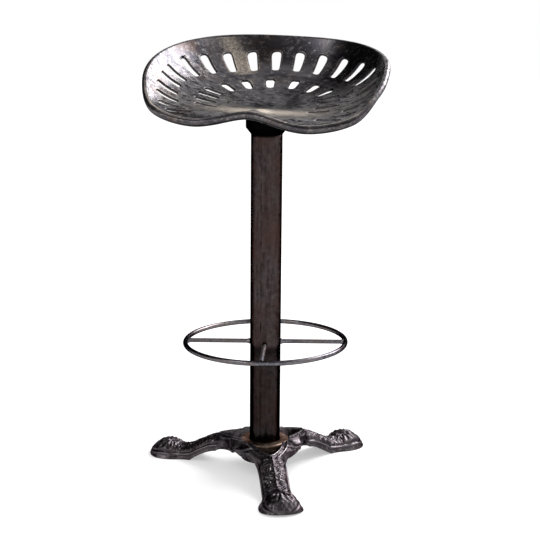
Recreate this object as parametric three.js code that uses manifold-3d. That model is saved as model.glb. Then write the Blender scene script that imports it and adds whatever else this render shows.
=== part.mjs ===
// Tractor seat stool: slotted cast seat on a swivel, tube column with a round foot rest, three cast legs.
// Millimetres, +Z up, floor at z = 0. The seat faces -Y.
// Angles are counterclockwise from +X, seen from above.
import * as THREE from 'three';
import { mergeVertices } from 'three/addons/utils/BufferGeometryUtils.js';
import { ParametricGeometry } from 'three/addons/geometries/ParametricGeometry.js';
import Module from 'manifold-3d';

// Fits
const FIT = 0.3; // gap between pieces that touch or slide
const HOLE_PLAY = 0.5; // radial play of a screw in its hole
const CUT_PAST = 20; // how far a cutting solid runs past what it cuts
const ROUND_STEPS = 32; // facets of a large round
const SMALL_STEPS = 12; // facets of a screw or a rod

// Column
const COLUMN_DIAMETER = 60.3;
const COLUMN_WALL = 3;
const COLUMN_LENGTH = 628.7;

// Legs, measured outward from the column axis
const LEG_COUNT = 3;
const FRONT_LEG_ANGLE = 290.7;
const LEG_REACH = 250;
const LEG_WIDTH = 54;
const FOOT_WIDTH = 84; // at the sole
const KNOB_WIDTH = 66; // at the foot's knob, above the sole
const FOOT_LENGTH = 96;
const HEEL_LENGTH = 60; // over which the sole spreads out from the leg
const TOE_LENGTH = 32; // rounded front of the foot
const TOE_SQUARENESS = 2.1;
const TOE_LIFT = 3.5; // height of the toe's tip above the floor
const TOE_LIFT_LENGTH = 50;
const TIP_FLAT = 0.4; // cut off the very tip
const TOE_HEIGHT = 22;
const KNOB_SETBACK = 39; // from the toe back to the top of the foot's knob
const KNOB_HEIGHT = 30.3;
const NECK_SETBACK = 75; // from the toe back to the narrow behind the knob
const NECK_HEIGHT = 23.3;
const SHOULDER_REACH = 100;
const SHOULDER_HEIGHT = 57;
const CROWN_HEIGHT = 63.5; // top of the ring of branches round the collar
const ARCH_HEIGHT = 28.3; // clear height under the hub
const ARCH_ROUNDNESS = 1.6;
const ARCH_REACH = 95; // where the underside starts to fall to the heel
const FLARE_REACH = 96; // where the leg starts to branch towards its neighbours
const FLARE_WIDTH = 30; // what each side gains at the collar
const BRANCH_RISE = 24; // how far the underside climbs at the branches
const SOLE_THINNESS = 3; // power that pulls the sides in above the sole
const SECTION_SQUARENESS = 2.6;
const RIB_RELIEF = 1.8;
const POCKET_WIDTH = 56; // notch between a leg's two branches, at its root beside the collar
const POCKET_ROOT = 37; // from the column axis
const POCKET_REACH = 94; // to the notch's end
const POCKET_SQUARENESS = 1.4;
const POCKET_FLOOR = 42;
const LUG_THICKNESS = 9; // the legs' inner tongues, under the collar
const LUG_BORE = 28;
const LEG_ROOT_SHARE = 0.6; // where the swept leg starts, as a share of the collar's radius
const LEG_STEPS = 26;
const POCKET_STEPS = 7;

// Collar and base hardware
const COLLAR_DIAMETER = 97;
const COLLAR_HEIGHT = 24;
const COLLAR_CHAMFER = 2.5;
const LEG_SCREW_DIAMETER = 8;
const LEG_SCREW_HEAD_FLATS = 13;
const LEG_SCREW_HEAD = 5.3;
const LEG_SCREW_BITE = 15; // length inside the collar
const HUB_PLATE_DIAMETER = 94;
const HUB_PLATE_THICKNESS = 5;
const BASE_BOLT_DIAMETER = 12;
const BASE_BOLT_HEAD_FLATS = 18;
const BASE_BOLT_HEAD = 7.5;
const BASE_WASHER_DIAMETER = 24;
const BASE_WASHER_THICKNESS = 2.5;
const PLUG_THICKNESS = 16;
const PLUG_INSET = 1.5; // above the lower end of the tube

// Foot rest
const RING_HEIGHT = 261.3;
const RING_RADIUS = 156.5; // to the middle of the bar
const RING_BAR = 9.6;
const RING_LEAN_ANGLE = 0.6; // degrees, as welded
const SPOKE_COUNT = 4;
const FIRST_SPOKE_ANGLE = 279.5;
const SPOKE_BAR = 8.4;
const WELD_SIZE = 2.6; // how far a weld stands out from the spoke
const WELD_LENGTH = 7;
const WELD_CROWN_SHARE = 0.3; // part of a weld that has its full size

// Swivel
const HOUSING_DIAMETER = 80;
const HOUSING_HEIGHT = 29;
const HOUSING_CHAMFER = 12.5; // height of the cone down to the tube
const SPIGOT_LENGTH = 23;
const SPINDLE_DIAMETER = 25;
const BUSHING_WALL = 3.5;
const THRUST_DIAMETER = 58;
const THRUST_THICKNESS = 2.4;
const SWIVEL_PLATE_DIAMETER = 80;
const SWIVEL_PLATE_THICKNESS = 6;
const SPINDLE_WASHER_DIAMETER = 46;
const SPINDLE_WASHER_THICKNESS = 3;
const SPINDLE_NUT_FLATS = 36;
const SPINDLE_NUT_HEIGHT = 14;
const SPINDLE_TAIL = 4; // thread below the nut
const SEAT_SCREW_COUNT = 4;
const SEAT_SCREW_CIRCLE = 58;
const SEAT_SCREW_DIAMETER = 8;
const SEAT_SCREW_HEAD_DIAMETER = 15;
const SEAT_SCREW_HEAD = 4;
const SEAT_SCREW_HEAD_RIM = 0.6; // upright edge of the countersunk head
const SEAT_SCREW_BITE = 8; // length inside the seat's boss

// Seat: reach is from the column axis to the middle of the rim bead, rise is from the dish bottom to it.
// Stations go round from the back of the seat to the notch at the front, in degrees.
const BACK_ANGLE = 0;
const QUARTER_ANGLE = 45;
const SIDE_ANGLE = 90;
const HAUNCH_ANGLE = 112;
const FORE_ANGLE = 130;
const LOBE_ANGLE = 150;
const NOTCH_ANGLE = 180;
const BACK_REACH = 196.7;
const QUARTER_REACH = 213.2;
const SIDE_REACH = 220.3;
const HAUNCH_REACH = 231.8;
const FORE_REACH = 235.3;
const LOBE_REACH = 201.9;
const NOTCH_REACH = 166.7;
const BACK_RISE = 120.6;
const QUARTER_RISE = 112.9;
const SIDE_RISE = 77.9;
const HAUNCH_RISE = 42.4;
const FORE_RISE = -2.1;
const LOBE_RISE = -19.4;
const NOTCH_RISE = -1.6;
const BACK_SLOPE_SHARE = 0.57; // share of the rise that climbs evenly, the rest climbs at the rim
const SIDE_SLOPE_SHARE = 0.55;
const LOBE_SLOPE_SHARE = 0.09;
const NOTCH_SLOPE_SHARE = 0.8;
const BACK_RIM_POWER = 7.4;
const SIDE_RIM_POWER = 7.5;
const LOBE_RIM_POWER = 7.5;
const DISH_SOFTNESS_SHARE = 0.25; // roundness of the dish bottom
const SEAT_SHIFT = 4.3; // how far the casting's middle sits off the column axis, to the sitter's left
const SEAT_LEAN_ANGLE = 2.1; // degrees, low on the sitter's left
const SEAT_WALL = 4.5;
const SEAT_BOSS_DIAMETER = 90;
const SEAT_BOSS_DEPTH = 14.8; // from the dish bottom down to the swivel plate
const BEAD_WIDTH = 13;
const BEAD_HEIGHT = 16;
const BEAD_START_ANGLE = 150; // degrees round the bead where the dish surface meets it
const BEAD_END_ANGLE = -112;
const UNDERSIDE_SHARE = 0.93; // where the underside meets the bead
const SEAT_STEPS = 60;
const DISH_STEPS = 9;
const BEAD_STEPS = 6;
const UNDERSIDE_STEPS = 5;

// Slots, on each half of the seat: a wide pitch round the back, a narrow one along the side
const OUTER_BACK_COUNT = 6;
const OUTER_BACK_PITCH_ANGLE = 15.7;
const OUTER_SIDE_COUNT = 5;
const OUTER_SIDE_PITCH_ANGLE = 10.9;
const OUTER_ROW_BACK_SHARE = 0.7676; // where a slot starts, as a share of the rim's reach, at the back
const OUTER_ROW_SIDE_SHARE = 0.7558; // the same at the side
const OUTER_ROW_FRONT_SHARE = 0.904; // and towards the front
const OUTER_SLOT_BACK_SHARE = 0.257; // a slot's length as a share of that reach
const OUTER_SLOT_SIDE_SHARE = 0.195;
const OUTER_SLOT_BACK_WIDTH = 14;
const OUTER_SLOT_SIDE_WIDTH = 9.5;
const OUTER_SLOT_TAPER = 4.5; // how much wider the outer end is, at the back
const INNER_BACK_COUNT = 4;
const INNER_BACK_PITCH_ANGLE = 23.2;
const INNER_SIDE_COUNT = 3;
const INNER_SIDE_PITCH_ANGLE = 15.1;
const INNER_ROW_BACK_SHARE = 0.5124;
const INNER_ROW_SIDE_SHARE = 0.435;
const INNER_ROW_FRONT_SHARE = 0.551;
const INNER_SLOT_BACK_SHARE = 0.162;
const INNER_SLOT_SIDE_SHARE = 0.182;
const INNER_SLOT_BACK_WIDTH = 13.5;
const INNER_SLOT_SIDE_WIDTH = 8.5;
const INNER_SLOT_TAPER = 3;
const SLOT_START_ANGLE = 62; // slots stop being radial past here, in degrees from the back
const SLOT_END_ANGLE = 100;
const SIDE_SLOT_ANGLE = 94.4; // which way the side slots point, in degrees from the back
const SLOT_SQUARENESS = 2.8;
const SLOT_END_STEPS = 3;

// Heights that follow from the sizes above
const columnRadius = COLUMN_DIAMETER / 2;
const tubeBoreRadius = columnRadius - COLUMN_WALL;
const collarRadius = COLLAR_DIAMETER / 2;
const lugTop = ARCH_HEIGHT + LUG_THICKNESS;
const columnBottom = lugTop + FIT;
const columnTop = columnBottom + COLUMN_LENGTH;
const collarTop = columnBottom + COLLAR_HEIGHT;
const hubPlateTop = ARCH_HEIGHT - FIT;
const hubPlateBottom = hubPlateTop - HUB_PLATE_THICKNESS;
const legScrewCircle = columnRadius + collarRadius; // diameter, mid-wall of the collar
const housingBottom = columnTop + FIT;
const housingTop = housingBottom + HOUSING_HEIGHT;
const swivelPlateBottom = housingTop + FIT;
const swivelPlateTop = swivelPlateBottom + SWIVEL_PLATE_THICKNESS;
const bossBottom = swivelPlateTop + FIT;
const dishBottom = bossBottom + SEAT_BOSS_DEPTH;
const spindleRadius = SPINDLE_DIAMETER / 2;
const bushingRadius = spindleRadius + FIT + BUSHING_WALL;
const spigotBottom = housingBottom - SPIGOT_LENGTH;

const wasm = await Module();
wasm.setup();
const stool = new THREE.Group();

// Materials
const LOOKS = {
  seatIron: { color: 0x3d3937, roughness: 0.36, metalness: 0.85 },
  baseIron: { color: 0x2c2624, roughness: 0.34, metalness: 0.8 },
  collarIron: { color: 0x6b574c, roughness: 0.6, metalness: 0.6 },
  columnSteel: { color: 0x3b302e, roughness: 0.5, metalness: 0.75 },
  ringSteel: { color: 0x8c8782, roughness: 0.3, metalness: 0.95 },
  blackSteel: { color: 0x1d1c1e, roughness: 0.55, metalness: 0.4 },
  zincSteel: { color: 0xa7a5a0, roughness: 0.4, metalness: 0.9 },
  bronze: { color: 0x9a7440, roughness: 0.4, metalness: 0.95 },
};

const radians = (degrees) => THREE.MathUtils.degToRad(degrees);

// A closed solid from a three.js geometry: shared corners merged, collapsed triangles dropped.
function solidOf(geometry) {
  const bare = new THREE.BufferGeometry();
  bare.setAttribute('position', geometry.getAttribute('position').clone());
  if (geometry.index) bare.setIndex(geometry.index.clone());
  const merged = mergeVertices(bare, 1e-3);
  const kept = [];
  const corners = merged.index.array;
  for (let i = 0; i < corners.length; i += 3) {
    const [a, b, c] = corners.slice(i, i + 3);
    if (a !== b && b !== c && c !== a) kept.push(a, b, c);
  }
  const vertProperties = new Float32Array(merged.getAttribute('position').array);
  const mesh = new wasm.Mesh({ numProp: 3, vertProperties, triVerts: new Uint32Array(kept) });
  return new wasm.Manifold(mesh);
}

// A three.js geometry from a solid.
function geometryOf(solid) {
  const { vertProperties, triVerts } = solid.getMesh();
  const geometry = new THREE.BufferGeometry();
  geometry.setAttribute('position', new THREE.BufferAttribute(vertProperties, 3));
  geometry.setIndex(new THREE.BufferAttribute(triVerts, 1));
  geometry.computeVertexNormals();
  return geometry;
}

// Adds one named piece.
function addPiece(name, geometry, look) {
  const mesh = new THREE.Mesh(geometry, new THREE.MeshStandardMaterial(LOOKS[look]));
  mesh.name = name;
  stool.add(mesh);
  return mesh;
}

// An upright round bar between two heights.
function roundBar(radius, bottom, top, steps = SMALL_STEPS) {
  const bar = new THREE.CylinderGeometry(radius, radius, top - bottom, steps);
  bar.rotateX(Math.PI / 2);
  bar.translate(0, 0, (bottom + top) / 2);
  return bar;
}

// A turned solid from [radius, height] corners, the section going up the outside.
function turned(corners, steps = ROUND_STEPS) {
  const points = corners.map(([radius, height]) => new THREE.Vector2(radius, height));
  const closesOnAxis = corners[0][0] === 0;
  if (!closesOnAxis) points.push(points[0].clone());
  const body = new THREE.LatheGeometry(points, steps);
  body.rotateX(Math.PI / 2);
  return body;
}

// An upright hexagon, given its width across flats.
function hexBar(flats, bottom, top) {
  return roundBar(flats / Math.sqrt(3), bottom, top, 6);
}

// A place on a circle round the column axis.
function around(radius, degrees) {
  return [radius * Math.cos(radians(degrees)), radius * Math.sin(radians(degrees))];
}

// A smooth curve through stations, level at both ends.
function through(stations, values, at) {
  const last = stations.length - 1;
  const slope = (i) => {
    if (i === 0 || i === last) return 0;
    return (values[i + 1] - values[i - 1]) / (stations[i + 1] - stations[i - 1]);
  };
  const x = Math.min(Math.max(at, stations[0]), stations[last]);
  let i = 0;
  while (i < last - 1 && x > stations[i + 1]) i += 1;
  const span = stations[i + 1] - stations[i];
  const t = (x - stations[i]) / span;
  const rise = t * t * (3 - 2 * t);
  const leave = slope(i) * span * t * (1 - t) * (1 - t);
  const arrive = slope(i + 1) * span * t * t * (t - 1);
  return values[i] * (1 - rise) + values[i + 1] * rise + leave + arrive;
}

// Distance from the column axis to the heel.
const heelReach = LEG_REACH - FOOT_LENGTH;

// How much of the toe's rounding is left at a reach: 1 before the toe, 0 at its tip.
function toeShare(reach) {
  const along = Math.max(0, (reach - LEG_REACH + TOE_LENGTH) / TOE_LENGTH);
  return Math.max(0, 1 - along ** TOE_SQUARENESS) ** (1 / TOE_SQUARENESS);
}

// How far into the branching hub a reach is: 0 outside it, 1 at the collar.
function hubShare(reach) {
  return Math.max(0, (FLARE_REACH - reach) / (FLARE_REACH - collarRadius));
}

// Half the leg's width at a reach; up is 0 at the underside, where the sole spreads, and 1 at the top.
function legHalfWidth(reach, up) {
  const bodyEnds = [LEG_REACH - NECK_SETBACK, LEG_REACH - KNOB_SETBACK];
  const body = through(bodyEnds, [LEG_WIDTH / 2, KNOB_WIDTH / 2], reach);
  const sole = through([heelReach, heelReach + HEEL_LENGTH], [body, FOOT_WIDTH / 2], reach);
  const half = body + (sole - body) * (1 - up) ** SOLE_THINNESS;
  return (half + FLARE_WIDTH * hubShare(reach) ** 1.6) * toeShare(reach);
}

// Height of the leg's top along its middle.
function legCrest(reach) {
  const footReaches = [LEG_REACH - NECK_SETBACK, LEG_REACH - KNOB_SETBACK, LEG_REACH];
  const reaches = [collarRadius, SHOULDER_REACH, ...footReaches];
  const heights = [CROWN_HEIGHT, SHOULDER_HEIGHT, NECK_HEIGHT, KNOB_HEIGHT, TOE_HEIGHT];
  return through(reaches, heights, reach);
}

// Height of the leg's underside: level under the hub, an arch down to the flat sole, a lift under the toe.
function legUnderside(reach) {
  const fall = (reach - ARCH_REACH) / (heelReach - ARCH_REACH);
  const lift = Math.max(0, 1 - (LEG_REACH - reach) / TOE_LIFT_LENGTH);
  return ARCH_HEIGHT * (1 - Math.min(1, Math.max(0, fall)) ** ARCH_ROUNDNESS) + TOE_LIFT * lift * lift;
}

// One corner of the leg's section: over the top for u up to 0.8, then back along the underside.
function legPoint(u, reach, target) {
  const low = legUnderside(reach);
  const climb = BRANCH_RISE * Math.min(1, hubShare(reach) * 1.5);
  if (u > 0.8) {
    const across = (u - 0.9) / 0.1;
    target.set(reach, legHalfWidth(reach, 0) * across, low + climb * across * across);
    return;
  }
  const turn = Math.PI * (u / 0.8);
  const across = Math.sign(Math.cos(turn)) * Math.abs(Math.cos(turn)) ** (2 / SECTION_SQUARENESS);
  const up = Math.max(0, Math.sin(turn)) ** (2 / SECTION_SQUARENESS);
  const base = low + climb * across * across;
  const rib = RIB_RELIEF * (1 - Math.abs(across)) ** 6;
  const height = (legCrest(reach) + rib - base) * up * toeShare(reach);
  target.set(reach, legHalfWidth(reach, up) * across, base + height);
}

// The swept body of one leg, along +X.
function legBody() {
  const start = collarRadius * LEG_ROOT_SHARE;
  const end = LEG_REACH - TIP_FLAT;
  const sections = 15;
  const points = [];
  const corner = new THREE.Vector3();
  for (let i = 0; i <= LEG_STEPS; i += 1) {
    const eased = 1 - (1 - i / LEG_STEPS) ** 1.15;
    for (let j = 0; j < sections; j += 1) {
      legPoint(j / sections, start + (end - start) * eased, corner);
      points.push(corner.clone());
    }
  }
  return sweptSolid(points, sections);
}

// A closed solid from rings of points, each ring counterclockwise seen from its far end, with flat ends.
function sweptSolid(points, count) {
  const faces = [];
  const rings = points.length / count;
  for (let i = 0; i < rings - 1; i += 1) {
    for (let j = 0; j < count; j += 1) {
      const a = i * count + j;
      const b = i * count + ((j + 1) % count);
      faces.push(a, b, a + count, b, b + count, a + count);
    }
  }
  const outline = (ring) => {
    const corners = points.slice(ring * count, (ring + 1) * count);
    return corners.map((corner) => new THREE.Vector2(corner.y, corner.z));
  };
  for (const [a, b, c] of THREE.ShapeUtils.triangulateShape(outline(0), [])) faces.push(a, c, b);
  const far = (rings - 1) * count;
  for (const [a, b, c] of THREE.ShapeUtils.triangulateShape(outline(rings - 1), [])) {
    faces.push(far + a, far + b, far + c);
  }
  const geometry = new THREE.BufferGeometry().setFromPoints(points);
  geometry.setIndex(faces);
  return geometry;
}

// The third of the base that belongs to one leg, with half the fit taken off each side.
function legWedge() {
  const half = Math.PI / LEG_COUNT;
  const far = 2 * LEG_REACH;
  const apex = FIT / 2 / Math.sin(half);
  const shape = new THREE.Shape();
  shape.moveTo(apex, 0);
  shape.lineTo(apex + far * Math.cos(half), -far * Math.sin(half));
  shape.lineTo(apex + far, -far * Math.sin(half));
  shape.lineTo(apex + far, far * Math.sin(half));
  shape.lineTo(apex + far * Math.cos(half), far * Math.sin(half));
  const wedge = new THREE.ExtrudeGeometry(shape, { depth: 2 * CROWN_HEIGHT, bevelEnabled: false });
  wedge.translate(0, 0, -CUT_PAST);
  return wedge;
}

// The notch between a leg's branches, seen from above: wide beside the collar, rounded at its end.
function legPocket() {
  const half = POCKET_WIDTH / 2;
  const shape = new THREE.Shape();
  shape.moveTo(0, -half);
  for (let i = -POCKET_STEPS; i <= POCKET_STEPS; i += 1) {
    const turn = ((Math.PI / 2) * i) / POCKET_STEPS;
    const out = Math.abs(Math.cos(turn)) ** (2 / POCKET_SQUARENESS);
    const aside = Math.sign(i) * Math.abs(Math.sin(turn)) ** (2 / POCKET_SQUARENESS);
    shape.lineTo(POCKET_ROOT + (POCKET_REACH - POCKET_ROOT) * out, half * aside);
  }
  shape.lineTo(0, half);
  const pocket = new THREE.ExtrudeGeometry(shape, { depth: CROWN_HEIGHT, bevelEnabled: false });
  pocket.translate(0, 0, POCKET_FLOOR);
  return pocket;
}

// One leg casting, along +X: branches round the collar, tongue under it, arch, neck and foot.
function legCasting() {
  const tongue = solidOf(roundBar(collarRadius, ARCH_HEIGHT, lugTop, ROUND_STEPS));
  const core = solidOf(roundBar(collarRadius + FIT, lugTop, CROWN_HEIGHT + CUT_PAST, ROUND_STEPS));
  const boltHole = solidOf(roundBar(LUG_BORE / 2, 0, lugTop + CUT_PAST, ROUND_STEPS));
  const screwRadius = LEG_SCREW_DIAMETER / 2 + HOLE_PLAY;
  const screwBar = roundBar(screwRadius, 0, lugTop + CUT_PAST);
  screwBar.translate(legScrewCircle / 2, 0, 0);
  return solidOf(legBody())
    .subtract(solidOf(legPocket()))
    .subtract(core)
    .add(tongue)
    .intersect(solidOf(legWedge()))
    .subtract(boltHole)
    .subtract(solidOf(screwBar));
}

const legAngles = Array.from({ length: LEG_COUNT }, (_, i) => FRONT_LEG_ANGLE - (i * 360) / LEG_COUNT);
const legNames = ['front', 'left', 'right'];
const legSolid = legCasting();
legAngles.forEach((angle, i) => {
  addPiece(`leg_${legNames[i]}`, geometryOf(legSolid), 'baseIron').rotation.z = radians(angle);
});

// A row of upright holes on a circle, joined into one cutting solid.
function holesAround(angles, radius, holeRadius, bottom, top) {
  return angles
    .map((angle) => {
      const bar = roundBar(holeRadius, bottom, top);
      bar.translate(...around(radius, angle), 0);
      return solidOf(bar);
    })
    .reduce((all, hole) => all.add(hole));
}

// Collar round the foot of the column, tapped from below for the leg screws.
function collarGeometry() {
  const bore = columnRadius + FIT;
  const body = turned([
    [bore, columnBottom],
    [collarRadius, columnBottom],
    [collarRadius, collarTop - COLLAR_CHAMFER],
    [collarRadius - COLLAR_CHAMFER, collarTop],
    [bore, collarTop],
  ]);
  const screwRadius = LEG_SCREW_DIAMETER / 2 + FIT;
  const holeTop = columnBottom + LEG_SCREW_BITE + FIT;
  const holes = holesAround(legAngles, legScrewCircle / 2, screwRadius, columnBottom - CUT_PAST, holeTop);
  return geometryOf(solidOf(body).subtract(holes));
}
addPiece('hub_collar', collarGeometry(), 'collarIron');

// Round plate that clamps the legs' tongues from below.
function hubPlateGeometry() {
  const body = turned([
    [BASE_BOLT_DIAMETER / 2 + HOLE_PLAY, hubPlateBottom],
    [HUB_PLATE_DIAMETER / 2, hubPlateBottom],
    [HUB_PLATE_DIAMETER / 2, hubPlateTop],
    [BASE_BOLT_DIAMETER / 2 + HOLE_PLAY, hubPlateTop],
  ]);
  const screwRadius = LEG_SCREW_DIAMETER / 2 + HOLE_PLAY;
  const holes = holesAround(legAngles, legScrewCircle / 2, screwRadius, 0, hubPlateTop + CUT_PAST);
  return geometryOf(solidOf(body).subtract(holes));
}
addPiece('hub_plate', hubPlateGeometry(), 'blackSteel');

// Hexagon-headed screw from below, its head ending at headTop.
function hexScrew(diameter, flats, head, headTop, tip) {
  const shank = roundBar(diameter / 2, headTop - head / 2, tip);
  return geometryOf(solidOf(hexBar(flats, headTop - head, headTop)).add(solidOf(shank)));
}
const legScrewTip = columnBottom + LEG_SCREW_BITE;
const headTop = hubPlateBottom - FIT;
const legScrew = hexScrew(LEG_SCREW_DIAMETER, LEG_SCREW_HEAD_FLATS, LEG_SCREW_HEAD, headTop, legScrewTip);
legAngles.forEach((angle, i) => {
  const screw = addPiece(`leg_screw_${legNames[i]}`, legScrew, 'zincSteel');
  screw.position.set(...around(legScrewCircle / 2, angle), 0);
});

// Central bolt, its washer, and the plug in the tube that it draws down.
const washerTop = hubPlateBottom - FIT;
const washerBottom = washerTop - BASE_WASHER_THICKNESS;
const plugBottom = columnBottom + PLUG_INSET;
const plugTop = plugBottom + PLUG_THICKNESS;
addPiece(
  'base_washer',
  turned([
    [BASE_BOLT_DIAMETER / 2 + HOLE_PLAY, washerBottom],
    [BASE_WASHER_DIAMETER / 2, washerBottom],
    [BASE_WASHER_DIAMETER / 2, washerTop],
    [BASE_BOLT_DIAMETER / 2 + HOLE_PLAY, washerTop],
  ]),
  'zincSteel',
);
const boltHeadTop = washerBottom - FIT;
const baseBolt = hexScrew(BASE_BOLT_DIAMETER, BASE_BOLT_HEAD_FLATS, BASE_BOLT_HEAD, boltHeadTop, plugTop);
addPiece('base_bolt', baseBolt, 'zincSteel');
addPiece(
  'column_foot_plug',
  turned([
    [BASE_BOLT_DIAMETER / 2 + FIT, plugBottom],
    [tubeBoreRadius - FIT, plugBottom],
    [tubeBoreRadius - FIT, plugTop],
    [BASE_BOLT_DIAMETER / 2 + FIT, plugTop],
  ]),
  'blackSteel',
);
addPiece(
  'column_tube',
  turned([
    [tubeBoreRadius, columnBottom],
    [columnRadius, columnBottom],
    [columnRadius, columnTop],
    [tubeBoreRadius, columnTop],
  ]),
  'columnSteel',
);

// Foot rest: a round bar bent into a ring, and four welded spokes.
const footRest = new THREE.Group();
footRest.position.z = RING_HEIGHT;
footRest.rotation.y = radians(-RING_LEAN_ANGLE);
stool.add(footRest);
const ringBar = new THREE.TorusGeometry(RING_RADIUS, RING_BAR / 2, 8, 60);
footRest.add(addPiece('foot_ring', geometryOf(solidOf(ringBar)), 'ringSteel'));

// One spoke along +X, with a weld swelling at each end, cut to the tube and to the ring.
function spokeGeometry() {
  const bar = SPOKE_BAR / 2;
  const weld = bar + WELD_SIZE;
  const inner = columnRadius - WELD_SIZE / 2;
  const outer = RING_RADIUS;
  const innerWeld = columnRadius + FIT;
  const outerWeld = RING_RADIUS - RING_BAR / 2 - FIT;
  const body = turned(
    [
      [0, inner],
      [weld, inner],
      [weld, innerWeld + WELD_LENGTH * WELD_CROWN_SHARE],
      [bar, innerWeld + WELD_LENGTH],
      [bar, outerWeld - WELD_LENGTH],
      [weld, outerWeld - WELD_LENGTH * WELD_CROWN_SHARE],
      [weld, outerWeld],
      [bar, outer],
      [0, outer],
    ],
    SMALL_STEPS,
  );
  body.rotateY(Math.PI / 2);
  const tube = solidOf(roundBar(columnRadius + FIT, -CUT_PAST, CUT_PAST, ROUND_STEPS));
  const ringRoom = solidOf(new THREE.TorusGeometry(RING_RADIUS, RING_BAR / 2 + FIT, 12, 96));
  const past = new THREE.BoxGeometry(CUT_PAST, CUT_PAST, CUT_PAST);
  past.translate(RING_RADIUS + CUT_PAST / 2, 0, 0);
  return geometryOf(solidOf(body).subtract(tube).subtract(ringRoom).subtract(solidOf(past)));
}
const spoke = spokeGeometry();
['front', 'right', 'back', 'left'].forEach((side, i) => {
  const mesh = addPiece(`spoke_${side}`, spoke, 'ringSteel');
  mesh.rotation.z = radians(FIRST_SPOKE_ANGLE + (i * 360) / SPOKE_COUNT);
  footRest.add(mesh);
});

// Swivel housing on top of the column: spigot in the tube, cone and round head, bushed bore, thrust seat.
const thrustBottom = housingTop - THRUST_THICKNESS;
addPiece(
  'swivel_housing',
  turned([
    [bushingRadius + FIT, spigotBottom],
    [tubeBoreRadius - FIT, spigotBottom],
    [tubeBoreRadius - FIT, housingBottom],
    [columnRadius, housingBottom],
    [HOUSING_DIAMETER / 2, housingBottom + HOUSING_CHAMFER],
    [HOUSING_DIAMETER / 2, housingTop],
    [THRUST_DIAMETER / 2 + FIT, housingTop],
    [THRUST_DIAMETER / 2 + FIT, thrustBottom - FIT],
    [bushingRadius + FIT, thrustBottom - FIT],
  ]),
  'blackSteel',
);
addPiece(
  'spindle_bushing',
  turned([
    [spindleRadius + FIT, spigotBottom],
    [bushingRadius, spigotBottom],
    [bushingRadius, thrustBottom - 2 * FIT],
    [spindleRadius + FIT, thrustBottom - 2 * FIT],
  ]),
  'bronze',
);
addPiece(
  'thrust_washer',
  turned([
    [spindleRadius + FIT, thrustBottom],
    [THRUST_DIAMETER / 2, thrustBottom],
    [THRUST_DIAMETER / 2, housingTop],
    [spindleRadius + FIT, housingTop],
  ]),
  'bronze',
);

// What turns with the seat: plate, spindle, washer and nut below the housing, countersunk screws.
const seatScrewAngles = Array.from({ length: SEAT_SCREW_COUNT }, (_, i) => 45 + (i * 360) / SEAT_SCREW_COUNT);
const seatScrewTip = bossBottom + SEAT_SCREW_BITE;

// A countersunk screw from below; play widens it into its own hole.
function countersunk(play) {
  const shank = SEAT_SCREW_DIAMETER / 2 + play;
  const head = SEAT_SCREW_HEAD_DIAMETER / 2 + play;
  const bottom = swivelPlateBottom + FIT - 2 * play;
  return turned(
    [
      [0, bottom],
      [head, bottom],
      [head, bottom + SEAT_SCREW_HEAD_RIM + play],
      [shank, swivelPlateBottom + FIT + SEAT_SCREW_HEAD + play],
      [shank, seatScrewTip + play],
      [0, seatScrewTip + play],
    ],
    SMALL_STEPS,
  );
}

// The holes for all the countersunk screws.
function seatScrewHoles() {
  return seatScrewAngles
    .map((angle) => {
      const hole = countersunk(FIT);
      hole.translate(...around(SEAT_SCREW_CIRCLE / 2, angle), 0);
      return solidOf(hole);
    })
    .reduce((all, hole) => all.add(hole));
}

const plateBody = turned([
  [spindleRadius + FIT, swivelPlateBottom],
  [SWIVEL_PLATE_DIAMETER / 2, swivelPlateBottom],
  [SWIVEL_PLATE_DIAMETER / 2, swivelPlateTop],
  [spindleRadius + FIT, swivelPlateTop],
]);
addPiece('swivel_plate', geometryOf(solidOf(plateBody).subtract(seatScrewHoles())), 'blackSteel');

const spindleWasherTop = spigotBottom - FIT;
const spindleWasherBottom = spindleWasherTop - SPINDLE_WASHER_THICKNESS;
const nutTop = spindleWasherBottom - FIT;
const nutBottom = nutTop - SPINDLE_NUT_HEIGHT;
const spindleBottom = nutBottom - SPINDLE_TAIL;
addPiece('spindle', roundBar(spindleRadius, spindleBottom, swivelPlateTop, ROUND_STEPS), 'zincSteel');
addPiece(
  'spindle_washer',
  turned([
    [spindleRadius + FIT, spindleWasherBottom],
    [SPINDLE_WASHER_DIAMETER / 2, spindleWasherBottom],
    [SPINDLE_WASHER_DIAMETER / 2, spindleWasherTop],
    [spindleRadius + FIT, spindleWasherTop],
  ]),
  'zincSteel',
);
const nutBore = roundBar(spindleRadius + FIT, nutBottom - CUT_PAST, nutTop + CUT_PAST, ROUND_STEPS);
const nutBody = solidOf(hexBar(SPINDLE_NUT_FLATS, nutBottom, nutTop)).subtract(solidOf(nutBore));
addPiece('spindle_nut', geometryOf(nutBody), 'zincSteel');
const seatScrew = countersunk(0);
['back_left', 'front_left', 'front_right', 'back_right'].forEach((corner, i) => {
  const screw = addPiece(`seat_screw_${corner}`, seatScrew, 'zincSteel');
  screw.position.set(...around(SEAT_SCREW_CIRCLE / 2, seatScrewAngles[(i + 1) % SEAT_SCREW_COUNT]), 0);
});

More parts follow.
